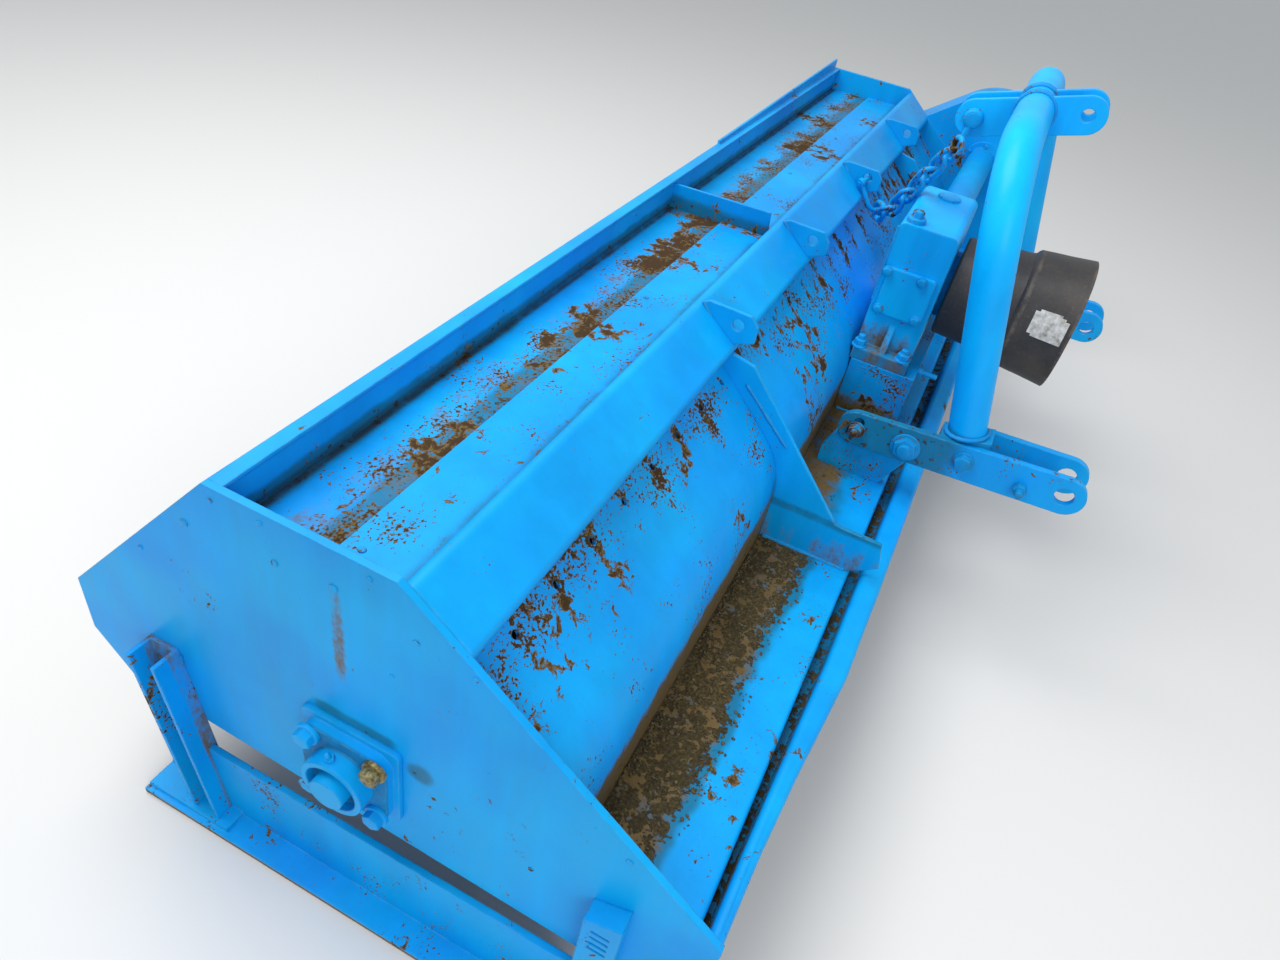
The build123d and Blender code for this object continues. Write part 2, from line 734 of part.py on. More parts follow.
# Hitch lugs behind the outer arm plates, standing on the ledge
arm_sides = ((hitch_x - hitch_spread / 2, -1), (hitch_x + hitch_spread / 2, 1))
lug_face = arm_gap / 2 - arm_side_gap
with BuildPart() as hitch_lugs:
    for centre, outward in arm_sides:
        with BuildSketch(side(centre + outward * lug_face)):
            with Locations(pivot):
                Circle(pivot_radius + 10)
            with Locations(stop_bolt):
                Circle(stop_bolt_radius + 12)
            with Locations((stop_bolt[0] - 12, ledge_z + 20)):
                Rectangle(136, 40)
            make_hull()
            with Locations(pivot):
                Circle(pivot_radius + running_gap, mode=Mode.SUBTRACT)
            with Locations(stop_bolt):
                Circle(stop_bolt_radius, mode=Mode.SUBTRACT)
        extrude(amount=-outward * lug_plate)
finish(hitch_lugs, "hitch_lugs")

# Stop bolts through the lugs, on which the arms' slots rest
arm_outer = arm_gap / 2 + arm_plate
lug_back = lug_face - lug_plate
with BuildPart() as stop_bolts:
    for centre, outward in arm_sides:
        head_face = arm_outer + arm_side_gap
        extrude(disc(centre + outward * lug_back, stop_bolt, stop_bolt_radius), amount=outward * (head_face - lug_back))
        extrude(disc(centre + outward * head_face, stop_bolt, 2 * stop_bolt_radius), amount=outward * 10)
        extrude(disc(centre + outward * lug_back, stop_bolt, 2 * stop_bolt_radius), amount=-outward * 10)
finish(stop_bolts, "stop_bolts")

# Headstock arms: an outer plate with a slot for the stop bolt, and a shorter inner plate from the arch's foot
slot_low = stop_bolt[1] + stop_slot_radius - stop_bolt_radius - running_gap
slot_high = stop_bolt[1] + (stop_bolt[0] - pivot[0]) * sin(radians(lean_back)) + 3


def arm_pair(centre, outward):
    """The two plates of the arm about the plane at centre, the outer one towards outward."""
    outer_x = centre + outward * arm_gap / 2
    inner_x = centre - outward * arm_gap / 2
    with BuildPart() as piece:
        extrude(hull_of(outer_x, stop_bolt, arm_rear_radius, lower_hole, arm_tip_radius), amount=outward * arm_plate)
        extrude(hull_of(inner_x, foot_bolt, arm_rear_radius, lower_hole, arm_tip_radius), amount=-outward * arm_plate)
        for x, away in ((outer_x, outward), (inner_x, -outward)):
            extrude(disc(x, lower_hole, lower_hole_radius), amount=away * arm_plate, mode=Mode.SUBTRACT)
            for place in (foot_bolt, spacer_bolt):
                extrude(disc(x, place, arm_bolt_radius + running_gap), amount=away * arm_plate, mode=Mode.SUBTRACT)
        extrude(disc(outer_x, pivot, pivot_radius + running_gap), amount=outward * arm_plate, mode=Mode.SUBTRACT)
        extrude(hull_of(outer_x, (stop_bolt[0], slot_low), stop_slot_radius, (stop_bolt[0] - 1, slot_high),
                        stop_slot_radius), amount=outward * arm_plate, mode=Mode.SUBTRACT)
    return piece


lower_arm_near = arm_pair(*arm_sides[0])
finish(lower_arm_near, "lower_arm_near")
lower_arm_far = arm_pair(*arm_sides[1])
finish(lower_arm_far, "lower_arm_far")

with BuildPart() as arm_pins:
    for centre, outward in arm_sides:
        pivot_back = lug_back - arm_side_gap
        extrude(disc(centre + outward * pivot_back, pivot, pivot_radius), amount=outward * (arm_outer - pivot_back))
        extrude(disc(centre + outward * arm_outer, pivot, 1.3 * pivot_radius), amount=outward * pivot_head)
        extrude(disc(centre + outward * pivot_back, pivot, 1.3 * pivot_radius), amount=-outward * pivot_head)
        for place in (foot_bolt, spacer_bolt):
            extrude(disc(centre - arm_outer, place, arm_bolt_radius), amount=2 * arm_outer)
            for x in (centre - arm_outer - arm_bolt_head, centre + arm_outer):
                extrude(disc(x, place, 1.45 * arm_bolt_radius), amount=arm_bolt_head)
finish(arm_pins, "arm_pins")

# Arch: a bent tube on two feet between the arm plates, leaning back
arch_height = (arch_top_z - arch_foot[1]) / cos(arch_lean)
arch_plane = Plane(origin=(near_face_x + hitch_x, datum_y + arch_foot[0], datum_height + arch_foot[1]),
                   x_dir=(1, 0, 0), z_dir=(0, -cos(arch_lean), sin(arch_lean)))
arch_half = hitch_spread / 2
foot_front_z = arch_foot[1] + (arch_foot[0] - arch_foot_front_y) * tan(arch_lean)
foot_rear_z = arch_foot[1] - (arch_foot_rear_y - arch_foot[0]) * tan(arch_lean)
with BuildPart() as arch_tube:
    with BuildLine(arch_plane) as arch_path:
        FilletPolyline((-arch_half, 0), (-arch_half, arch_height), (arch_half, arch_height), (arch_half, 0),
                       radius=arch_corner)
    with BuildSketch(Plane(origin=arch_path.line @ 0, z_dir=arch_path.line % 0)):
        Circle(arch_radius)
        Circle(arch_radius - arch_wall, mode=Mode.SUBTRACT)
    sweep()
    for centre, outward in arm_sides:
        extrude(outline(centre - arm_gap / 2, [
            (arch_foot_front_y, arch_foot_low_z), (arch_foot_rear_y, arch_foot_low_z),
            (arch_foot_rear_y, foot_rear_z), (arch_foot_front_y, foot_front_z)]), amount=arm_gap)
        extrude(disc(centre - arm_gap / 2, foot_bolt, arm_bolt_radius + running_gap), amount=arm_gap,
                mode=Mode.SUBTRACT)
finish(arch_tube, "arch_tube")

# Top-link plates, cut round the arch that passes through them
arch_top_y = arch_foot[0] + (arch_top_z - arch_foot[1]) * tan(arch_lean)
top_xs = (hitch_x - top_gap / 2 - top_plate, hitch_x + top_gap / 2)
with BuildPart() as top_link_plates:
    for x in top_xs:
        extrude(hull_of(x, chain_pin_at, top_plate_radius, top_hole, top_plate_radius), amount=top_plate)
        extrude(disc(x, (arch_top_y, arch_top_z), arch_radius + running_gap), amount=top_plate,
                mode=Mode.SUBTRACT)
        extrude(disc(x, top_hole, top_hole_radius), amount=top_plate, mode=Mode.SUBTRACT)
        extrude(disc(x, chain_pin_at, chain_pin_radius + running_gap), amount=top_plate, mode=Mode.SUBTRACT)
finish(top_link_plates, "top_link_plates")

# Ear and eye that hold the check chain, and the upright plane in which the chain hangs


def from_datum(x, y, z):
    """A point of the machine's frame, given from the near end plate and the datum."""
    return Vector(near_face_x + x, datum_y + y, datum_height + z)


eye_x = top_xs[0] - arm_side_gap - chain_pin_head
shackle_x = ear_x[2] + ear_thickness / 2
bow_root = from_datum(shackle_x, ear_hole_at[0], ear_hole_at[1] - shackle_drop)
bow_hang = Vector(0, -sin(shackle_swing), -cos(shackle_swing))
bow_across = Vector(cos(shackle_twist), -sin(shackle_twist), 0)
bow_across = (bow_across - bow_hang * bow_across.dot(bow_hang)).normalized()
bow_foot = bow_root + bow_hang * shackle_length
pin_centre = from_datum(eye_x + chain_pin_head / 2, *chain_pin_at)
eye_hang = Vector(0, sin(chain_eye_swing), -cos(chain_eye_swing))
eye_centre = pin_centre + eye_hang * chain_eye_length
chain_run = (Vector(bow_foot.X, bow_foot.Y, 0) - Vector(eye_centre.X, eye_centre.Y, 0)).normalized()
chain_side = Vector(-chain_run.Y, chain_run.X, 0)
ring_radius = chain_inner_width / 2 + chain_wire_radius

# Round bars and links are drawn with eight-sided wire, to keep the chain's faces few
def ring(half, wire, inner_radius):
    """A closed link lying in XY, its two end centres at half either way along X."""
    with BuildPart() as piece:
        for radius, mode in ((inner_radius + 2 * wire, Mode.ADD), (inner_radius, Mode.SUBTRACT)):
            with BuildSketch():
                with Locations((-half, 0), (half, 0)):
                    RegularPolygon(radius, chain_end_sides, major_radius=False)
                make_hull()
            extrude(amount=wire, both=True, mode=mode)
        rims = piece.faces().filter_by(Axis.Z).edges()
        chamfer(rims, length=2 * wire / (2 + 2 ** 0.5))
    return piece.part


# Chain pin through the plates' rear ends, with a ring hung from its near head
with BuildPart() as chain_eye_pin:
    extrude(disc(eye_x, chain_pin_at, chain_pin_radius), amount=top_xs[1] + top_plate + 8 - eye_x)
    extrude(disc(eye_x, chain_pin_at, chain_pin_head_radius), amount=chain_pin_head)
    extrude(disc(top_xs[1] + top_plate + 1, chain_pin_at, chain_pin_head_radius), amount=chain_pin_head)
    with BuildSketch(Plane(origin=pin_centre, z_dir=eye_hang)):
        Circle(chain_wire_radius)
    extrude(amount=chain_eye_length - ring_radius)
    with Locations(Plane(origin=eye_centre, z_dir=chain_side)):
        add(ring(0, chain_wire_radius - chain_trim, chain_inner_width / 2))
finish(chain_eye_pin, "chain_eye_pin")

# Shackle on the third ear, its bow hanging clear of the beam
with BuildPart() as chain_shackle:
    with BuildLine(Plane(origin=bow_root, x_dir=bow_across, z_dir=bow_across.cross(bow_hang * -1))) as bow:
        Polyline(
            (-shackle_half, 0), (-shackle_half, shackle_corner - shackle_length),
            (shackle_corner - shackle_half, -shackle_length), (shackle_half - shackle_corner, -shackle_length),
            (shackle_half, shackle_corner - shackle_length), (shackle_half, 0))
    with BuildSketch(Plane(origin=bow.line @ 0, z_dir=bow.line % 0)):
        RegularPolygon(shackle_wire_radius, 8, major_radius=False)
    sweep(transition=Transition.RIGHT)
    pin_reach = shackle_half + chain_wire_radius + 4
    with BuildSketch(Plane(origin=bow_root - bow_across * pin_reach, z_dir=bow_across)):
        Circle(shackle_pin_radius)
    extrude(amount=2 * pin_reach)
    for start in (-shackle_half - chain_wire_radius, shackle_half - chain_wire_radius):
        with BuildSketch(Plane(origin=bow_root + bow_across * start, z_dir=bow_across)):
            Circle(2 * shackle_pin_radius)
        extrude(amount=2 * chain_wire_radius)
finish(chain_shackle, "chain_shackle")

# Check chain: links lying flat and upright by turns, each upright one turning on its neighbours' wires
chain_up = Vector(0, 0, 1)
chain_start = eye_centre - chain_up * (chain_inner_width / 2 - chain_wire_radius - chain_slack)
chain_curve = Edge.make_bezier(
    chain_start,
    chain_start + chain_run * chain_leaves_eye[0] + chain_up * chain_leaves_eye[1],
    bow_foot + chain_run * chain_meets_bow[0] + chain_up * chain_meets_bow[1],
    bow_foot + chain_run * shackle_play,
)
chain_ends = []
for place in range(chain_count + 1):
    passed = place // 2 + (chain_flat_share if place % 2 else 0)
    chain_ends.append(chain_curve.position_at(2 * passed / chain_count))

with BuildPart() as check_chain:
    for place in range(chain_count):
        run = chain_ends[place + 1] - chain_ends[place]
        if place % 2:
            half = run.length / 2 + chain_wire_radius + chain_slack - chain_inner_width / 2
            link_normal = chain_side
        else:
            half = run.length / 2 - chain_wire_radius - chain_inner_width / 2
            link_normal = run.cross(chain_side)
        centre = (chain_ends[place] + chain_ends[place + 1]) * 0.5
        with Locations(Plane(origin=centre, x_dir=run, z_dir=link_normal)):
            add(ring(half, chain_wire_radius - chain_trim, chain_inner_width / 2))
finish(check_chain, "check_chain")
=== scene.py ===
import json
import math
import random

import bmesh
import bpy
import numpy as np
from mathutils import Matrix, Vector, noise

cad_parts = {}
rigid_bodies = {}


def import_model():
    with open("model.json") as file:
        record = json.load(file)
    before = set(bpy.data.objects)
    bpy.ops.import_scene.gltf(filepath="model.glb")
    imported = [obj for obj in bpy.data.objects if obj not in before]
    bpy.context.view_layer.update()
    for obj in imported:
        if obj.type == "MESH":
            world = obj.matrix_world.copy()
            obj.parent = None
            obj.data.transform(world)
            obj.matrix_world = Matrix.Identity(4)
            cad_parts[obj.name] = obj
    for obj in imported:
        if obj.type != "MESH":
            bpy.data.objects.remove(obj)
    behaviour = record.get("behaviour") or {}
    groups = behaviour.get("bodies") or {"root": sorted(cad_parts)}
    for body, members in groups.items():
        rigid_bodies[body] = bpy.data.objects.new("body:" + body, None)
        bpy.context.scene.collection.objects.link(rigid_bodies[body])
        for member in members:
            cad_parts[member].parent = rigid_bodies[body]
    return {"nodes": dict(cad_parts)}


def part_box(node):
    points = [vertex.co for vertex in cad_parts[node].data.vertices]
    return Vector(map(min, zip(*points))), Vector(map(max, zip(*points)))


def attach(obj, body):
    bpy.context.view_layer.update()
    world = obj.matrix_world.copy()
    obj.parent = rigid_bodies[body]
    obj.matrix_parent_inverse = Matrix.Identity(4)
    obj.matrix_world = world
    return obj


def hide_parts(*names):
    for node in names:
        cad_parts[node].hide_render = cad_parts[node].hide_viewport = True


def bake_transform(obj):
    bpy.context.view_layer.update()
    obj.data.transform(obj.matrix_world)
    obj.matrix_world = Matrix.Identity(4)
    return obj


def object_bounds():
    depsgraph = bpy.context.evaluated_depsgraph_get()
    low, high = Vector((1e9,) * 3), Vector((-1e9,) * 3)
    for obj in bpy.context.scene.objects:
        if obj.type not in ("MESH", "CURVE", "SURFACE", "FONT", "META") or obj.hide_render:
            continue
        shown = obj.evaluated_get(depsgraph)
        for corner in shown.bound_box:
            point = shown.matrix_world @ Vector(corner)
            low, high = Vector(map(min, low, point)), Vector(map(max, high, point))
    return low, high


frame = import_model()
cad_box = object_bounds()
nodes = frame["nodes"]

# Places are given in millimetres: x from the near end plate's outer face,
# y rearward and z up from a datum line 435 mm ahead of the plate's rear edge and 458 mm below its top.
plate_low, plate_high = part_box("end_plate_near")


def at(x, y, z):
    """A point given in millimetres, in metres in the machine's frame."""
    return Vector((plate_low.x + x / 1000, plate_high.y + (y - 435) / 1000, plate_high.z + (z - 458) / 1000))


# Camera: it stands off the near end, above the tractor's side, and looks down along the hood.
# The view is that of a short phone lens held level with the top of the arch.
camera = bpy.data.cameras.new("camera")
camera.sensor_width = 36
camera.lens = 24.62
camera_object = bpy.data.objects.new("camera", camera)
bpy.context.scene.collection.objects.link(camera_object)
camera_right = Vector((0.42651, -0.89003, 0.16105))
camera_up = Vector((0.52110, 0.38733, 0.76055))
camera_place = Matrix.Translation(at(-492, -494, 1128.6))
camera_object.matrix_world = camera_place @ Matrix((camera_right, camera_up, camera_right.cross(
    camera_up))).transposed().to_4x4()
bpy.context.scene.camera = camera_object

# Studio: a pale floor under the skids, a soft panel overhead and a second one from the tractor's side.
# An even pale room lights the shadows.
scene = bpy.context.scene
scene.view_settings.view_transform = "Standard"


def own(made, name):
    """Makes a finished mesh object from a bmesh and closes the bmesh."""
    mesh = bpy.data.meshes.new(name)
    made.to_mesh(mesh)
    made.free()
    piece = bpy.data.objects.new(name, mesh)
    scene.collection.objects.link(piece)
    return piece


floor_mesh = bmesh.new()
bmesh.ops.create_grid(floor_mesh, x_segments=1, y_segments=1, size=30)
bmesh.ops.translate(floor_mesh, vec=(0, 0, cad_box[0].z - 0.001), verts=floor_mesh.verts)
floor = own(floor_mesh, "floor")
floor_paint = bpy.data.materials.new("pale_floor")
floor_paint.use_nodes = True
floor_shader = floor_paint.node_tree.nodes["Principled BSDF"]
floor_shader.inputs["Base Color"].default_value = (0.70, 0.69, 0.67, 1)
floor_shader.inputs["Roughness"].default_value = 0.85
floor.data.materials.append(floor_paint)

world = bpy.data.worlds.new("room")
scene.world = world
world.use_nodes = True
world.node_tree.nodes["Background"].inputs["Color"].default_value = (0.90, 0.95, 1.0, 1)
world.node_tree.nodes["Background"].inputs["Strength"].default_value = 0.60


def soft_panel(name, place, aim, size, power):
    """A square area lamp at place that faces aim."""
    lamp = bpy.data.lights.new(name, "AREA")
    lamp.size = size
    lamp.energy = power
    made = bpy.data.objects.new(name, lamp)
    made.location = place
    made.rotation_mode = "QUATERNION"
    made.rotation_quaternion = (Vector(aim) - Vector(place)).to_track_quat("-Z", "Y")
    scene.collection.objects.link(made)


soft_panel("overhead_panel", (-0.6, 1.6, 3.9), (0.0, 0.1, 0.5), 2.8, 150)
soft_panel("side_panel", (-3.6, -2.2, 2.4), (0.0, -0.1, 0.5), 2.2, 62)


# Weathered blue repaint: thick brushed enamel over old steel, with rust that breaks through in clumps,
# growth and road dirt where water stands, edges lightened partly as chipped paint and partly as painted
# highlight, and black bands that are painted shade in the joints and dirt on the welds. The groups below serve
# every painted piece.
def feed(tree, socket, value):
    """Joins a socket to another, or sets its plain value."""
    if isinstance(value, bpy.types.NodeSocket):
        tree.links.new(value, socket)
    elif hasattr(value, "__len__") and len(value) == 3 and socket.type == "RGBA":
        socket.default_value = (*value, 1)
    else:
        socket.default_value = value


def put(tree, kind, inputs, **properties):
    """Adds a node with its properties set and its inputs fed."""
    made = tree.nodes.new(kind)
    for name, value in properties.items():
        setattr(made, name, value)
    for name, value in inputs.items():
        feed(tree, made.inputs[name], value)
    return made


def calc(tree, operation, *values):
    """One sum over the values, taken two at a time."""
    result = values[0]
    for value in values[1:]:
        result = put(tree, "ShaderNodeMath", {0: result, 1: value}, operation=operation).outputs[0]
    return result


def grain(tree, place, scale, detail=4.0, roughness=0.55, distortion=0.0):
    """A noise value over the surface, about a half on average."""
    return put(tree, "ShaderNodeTexNoise", {
        "Vector": place, "Scale": scale, "Detail": detail, "Roughness": roughness, "Distortion": distortion,
    }).outputs["Fac"]


def swing(tree, value, amount):
    """A noise value turned into a swing about zero."""
    return calc(tree, "MULTIPLY", calc(tree, "SUBTRACT", value, 0.5), amount)


def stepped(tree, value, start, end, low=0.0, high=1.0):
    """A smooth step of value from start to end."""
    return put(tree, "ShaderNodeMapRange", {
        "Value": value, "From Min": start, "From Max": end, "To Min": low, "To Max": high,
    }, interpolation_type="SMOOTHSTEP").outputs["Result"]


def mixed(tree, factor, first, second):
    """Two colours mixed by a factor."""
    made = tree.nodes.new("ShaderNodeMix")
    made.data_type = "RGBA"
    feed(tree, made.inputs[0], factor)
    feed(tree, made.inputs[6], first)
    feed(tree, made.inputs[7], second)
    return made.outputs[2]


def ramp(tree, value, *stops):
    """A colour ramp over value, from (position, colour) stops."""
    made = put(tree, "ShaderNodeValToRGB", {"Fac": value})
    elements = made.color_ramp.elements
    elements[0].position, elements[0].color = stops[0][0], (*stops[0][1], 1)
    elements[1].position, elements[1].color = stops[-1][0], (*stops[-1][1], 1)
    for position, colour in stops[1:-1]:
        elements.new(position).color = (*colour, 1)
    return made.outputs["Color"]


def new_group(name, inputs, outputs):
    """An empty shader group with its sockets, ready to be filled."""
    group = bpy.data.node_groups.new(name, "ShaderNodeTree")
    for label, kind, value in inputs:
        socket = group.interface.new_socket(label, in_out="INPUT", socket_type="NodeSocket" + kind)
        if value is not None:
            socket.default_value = value
    for label, kind in outputs:
        group.interface.new_socket(label, in_out="OUTPUT", socket_type="NodeSocket" + kind)
    return group, group.nodes.new("NodeGroupInput").outputs, group.nodes.new("NodeGroupOutput").inputs


# The edge mask marks rounded edges in patches. The paint group lightens them there, partly as chipped paint and
# partly as painted highlight.
edge_group, edge_in, edge_out = new_group(
    "worn_and_highlit_edges",
    [("Place", "Vector", None), ("Radius", "Float", 0.003)],
    [("Edge", "Float"), ("Normal", "Vector")],
)
rounded = put(edge_group, "ShaderNodeBevel", {"Radius": edge_in["Radius"]}, samples=4)
surface = edge_group.nodes.new("ShaderNodeNewGeometry")
facing = put(edge_group, "ShaderNodeVectorMath", {0: rounded.outputs["Normal"], 1: surface.outputs["Normal"]},
             operation="DOT_PRODUCT").outputs["Value"]
bare = calc(edge_group, "SUBTRACT", 1.0, facing)
patches = grain(edge_group, edge_in["Place"], 34.0, 5.0, 0.6)
feed(edge_group, edge_out["Edge"], calc(
    edge_group, "MULTIPLY", stepped(edge_group, bare, 0.012, 0.09), stepped(edge_group, patches, 0.38, 0.60)))
feed(edge_group, edge_out["Normal"], rounded.outputs["Normal"])

machine_blue = (0.001, 0.335, 0.80)
# A lighter copy of the machine blue that stands in for sunlight on the upper parts: painted light.
painted_sunlight_blue = (0.001, 0.43, 0.95)
# A lighter blue for the edges: partly chipped paint, partly painted highlight.
chip_and_highlight_blue = (0.07, 0.42, 0.80)
rust_rim = (0.185, 0.115, 0.034)
rust_core = (0.052, 0.028, 0.011)
film_brown = (0.205, 0.128, 0.034)
damp_teal = (0.010, 0.105, 0.150)
# Near-black that the Grime mask lays on: painted shade in the joints between sheets, and dirt on the welds and
# a bearing flange.
grime_black = (0.020, 0.016, 0.011)
crust_stops = ((0.28, (0.020, 0.017, 0.010)), (0.43, (0.062, 0.045, 0.021)), (0.55, (0.105, 0.080, 0.034)),
               (0.66, (0.165, 0.140, 0.066)), (0.78, (0.085, 0.150, 0.120)))
mask_inputs = ("Freckles", "Growth", "Stain", "Grime", "Edge")
paint_group, paint_in, paint_out = new_group(
    "weathered_paint",
    [("Place", "Vector", None), ("Paint", "Color", (*machine_blue, 1))]
    + [(name, "Float", 0.0) for name in mask_inputs],
    [("Colour", "Color"), ("Roughness", "Float"), ("Height", "Float"), ("Gloss", "Float")],
)
place = paint_in["Place"]
cloudy = grain(paint_group, place, 2.2, 3.0)
streaks = put(paint_group, "ShaderNodeMapping", {"Vector": place, "Scale": (22.0, 22.0, 2.6)})
streaky = grain(paint_group, streaks.outputs["Vector"], 1.0, 5.0, 0.6)
brightness = calc(paint_group, "ADD", stepped(paint_group, cloudy, 0.3, 0.7, 0.86, 1.06),
                  stepped(paint_group, streaky, 0.3, 0.72, -0.04, 0.06))
fresh = put(paint_group, "ShaderNodeHueSaturation", {
    "Color": paint_in["Paint"], "Value": brightness,
    "Hue": stepped(paint_group, grain(paint_group, place, 5.0, 2.0), 0.3, 0.7, 0.492, 0.506),
}).outputs["Color"]

damp = calc(
    paint_group, "ADD", paint_in["Growth"], swing(paint_group, grain(paint_group, place, 24.0, 4.0), 0.5))
wetted = mixed(paint_group, stepped(paint_group, damp, 0.16, 0.62, 0.0, 0.72), fresh, damp_teal)
film_edge = calc(paint_group, "ADD", paint_in["Stain"], swing(paint_group, streaky, 0.75), swing(
    paint_group, grain(paint_group, place, 90.0, 4.0, 0.7), 0.30))
filmed = mixed(paint_group, stepped(paint_group, film_edge, 0.30, 0.54, 0.0, 0.98), wetted, mixed(
    paint_group, grain(paint_group, place, 140.0, 4.0, 0.7), (0.082, 0.052, 0.018), film_brown))

cluster = swing(paint_group, grain(paint_group, place, 6.5, 2.0), 1.05)
limit = calc(paint_group, "SUBTRACT", 0.86, calc(paint_group, "MULTIPLY", paint_in["Freckles"], 0.42))
blister = calc(paint_group, "ADD", grain(paint_group, place, 48.0, 8.0, 0.68, 0.6), cluster)
speck = calc(paint_group, "ADD", grain(paint_group, place, 175.0, 3.0, 0.6), swing(
    paint_group, grain(paint_group, place, 11.0, 2.0), 0.75), 0.015)
broken = calc(paint_group, "SUBTRACT", calc(paint_group, "MAXIMUM", blister, speck), limit)
rusty = stepped(paint_group, broken, 0.0, 0.022)
rust_colour = mixed(paint_group, stepped(paint_group, calc(
    paint_group, "ADD", broken, swing(paint_group, grain(paint_group, place, 260.0, 3.0), 0.12)), 0.01, 0.10),
    rust_rim, rust_core)
freckled = mixed(paint_group, rusty, filmed, rust_colour)

cells = put(paint_group, "ShaderNodeTexVoronoi", {
    "Vector": place, "Scale": 62.0, "Detail": 2.0, "Roughness": 0.6, "Randomness": 1.0}).outputs["Distance"]
crumbs = grain(paint_group, place, 34.0, 9.0, 0.74)
reach = calc(paint_group, "ADD", paint_in["Growth"], swing(paint_group, crumbs, 0.95), calc(
    paint_group, "MULTIPLY", calc(paint_group, "SUBTRACT", 0.42, cells), 0.45))
cover = stepped(paint_group, reach, 0.50, 0.58)
crust_colour = mixed(
    paint_group, stepped(paint_group, grain(paint_group, place, 7.0, 3.0), 0.38, 0.66, 0.0, 0.55),
    ramp(paint_group, grain(paint_group, place, 190.0, 6.0, 0.76), *crust_stops), (0.048, 0.038, 0.020))
grown = mixed(paint_group, cover, freckled, crust_colour)
# The Grime mask darkens towards near-black: painted shade along the joints, and dirt on the welds.
shade_and_grime_amount = calc(paint_group, "MULTIPLY", paint_in["Grime"], stepped(paint_group, crumbs, 0.30, 0.56, 0.45, 1.0))
shaded_and_grimy = mixed(paint_group, shade_and_grime_amount, grown, grime_black)
# Edges turn to the lighter blue: partly chipped paint, partly painted highlight.
chip_and_highlight = calc(paint_group, "MULTIPLY", paint_in["Edge"], calc(paint_group, "SUBTRACT", 0.62, calc(
    paint_group, "MULTIPLY", cover, 0.5)))
feed(paint_group, paint_out["Colour"], mixed(paint_group, chip_and_highlight, shaded_and_grimy, chip_and_highlight_blue))
matt = calc(paint_group, "MAXIMUM", rusty, cover, shade_and_grime_amount)
feed(paint_group, paint_out["Roughness"], calc(paint_group, "ADD", calc(
    paint_group, "MULTIPLY", matt, 0.42), stepped(paint_group, streaky, 0.2, 0.8, 0.38, 0.50)))
peel = calc(paint_group, "MULTIPLY", grain(paint_group, place, 110.0, 4.0, 0.6), 0.16)
crust = calc(paint_group, "MULTIPLY", cover, calc(paint_group, "ADD", 0.35, grain(
    paint_group, place, 190.0, 6.0, 0.76), calc(paint_group, "MULTIPLY", cells, -0.5)))
feed(paint_group, paint_out["Height"], calc(paint_group, "ADD", peel, calc(
    paint_group, "MULTIPLY", rusty, 0.30), calc(paint_group, "MULTIPLY", crust, 1.9)))
feed(paint_group, paint_out["Gloss"], stepped(paint_group, matt, 0.0, 0.8, 0.07, 0.0))


def band(tree, place, axis, centre, half, soft):
    """A mask that is 1 within half of centre along an axis, and fades out over soft, in metres."""
    along = put(tree, "ShaderNodeSeparateXYZ", {"Vector": place}).outputs[axis]
    away = calc(tree, "ABSOLUTE", calc(tree, "SUBTRACT", along, centre), 0.0)
    return stepped(tree, away, half, half + soft, 1.0, 0.0)


def rise(tree, place, axis, start, end):
    """A mask that climbs from 0 at start to 1 at end along an axis."""
    along = put(tree, "ShaderNodeSeparateXYZ", {"Vector": place}).outputs[axis]
    return stepped(tree, along, start, end)


def blob(tree, place, centre, radius, soft):
    """A mask that is 1 round a point and fades out over soft."""
    away = put(tree, "ShaderNodeVectorMath", {0: place, 1: centre}, operation="DISTANCE").outputs["Value"]
    return stepped(tree, away, radius, radius + soft, 1.0, 0.0)


def share(tree, amount, *masks):
    """A share of the product of masks."""
    return calc(tree, "MULTIPLY", *masks, amount)


def blank_finish(name):
    """A new material with its node tree, its shader and the socket that gives the place on the piece."""
    made = bpy.data.materials.new(name)
    made.use_nodes = True
    tree = made.node_tree
    spot = tree.nodes.new("ShaderNodeTexCoord").outputs["Object"]
    return made, tree, tree.nodes["Principled BSDF"], spot


def blue_coat(name, edge=0.003, depth=0.0011, paint=machine_blue, **masks):
    """A weathered coat of the blue paint. Each mask is a plain value or a function that draws it."""
    made, tree, shader, spot = blank_finish(name)
    edges = put(tree, "ShaderNodeGroup", {}, node_tree=edge_group)
    feed(tree, edges.inputs["Place"], spot)
    edges.inputs["Radius"].default_value = edge
    coat = put(tree, "ShaderNodeGroup", {}, node_tree=paint_group)
    feed(tree, coat.inputs["Place"], spot)
    feed(tree, coat.inputs["Paint"], paint)
    feed(tree, coat.inputs["Edge"], edges.outputs["Edge"])
    for label, mask in masks.items():
        feed(tree, coat.inputs[label.capitalize()], mask(tree, spot) if callable(mask) else mask)
    feed(tree, shader.inputs["Base Color"], coat.outputs["Colour"])
    feed(tree, shader.inputs["Roughness"], coat.outputs["Roughness"])
    feed(tree, shader.inputs["Coat Weight"], coat.outputs["Gloss"])
    shader.inputs["Coat Roughness"].default_value = 0.24
    shader.inputs["Specular IOR Level"].default_value = 0.15
    relief = put(tree, "ShaderNodeBump", {"Height": coat.outputs["Height"], "Distance": depth,
                                         "Normal": edges.outputs["Normal"]})
    feed(tree, shader.inputs["Normal"], relief.outputs["Normal"])
    return made


# End plates: 10 mm plate, the cleanest paint on the machine, with scabs beside the bearing and a
# rusty run below one of the plugs that close old holes.
def dress(material, *names):
    """Gives CAD pieces their finish."""
    for name in names:
        for held in nodes[name].material_slots:
            held.material = material


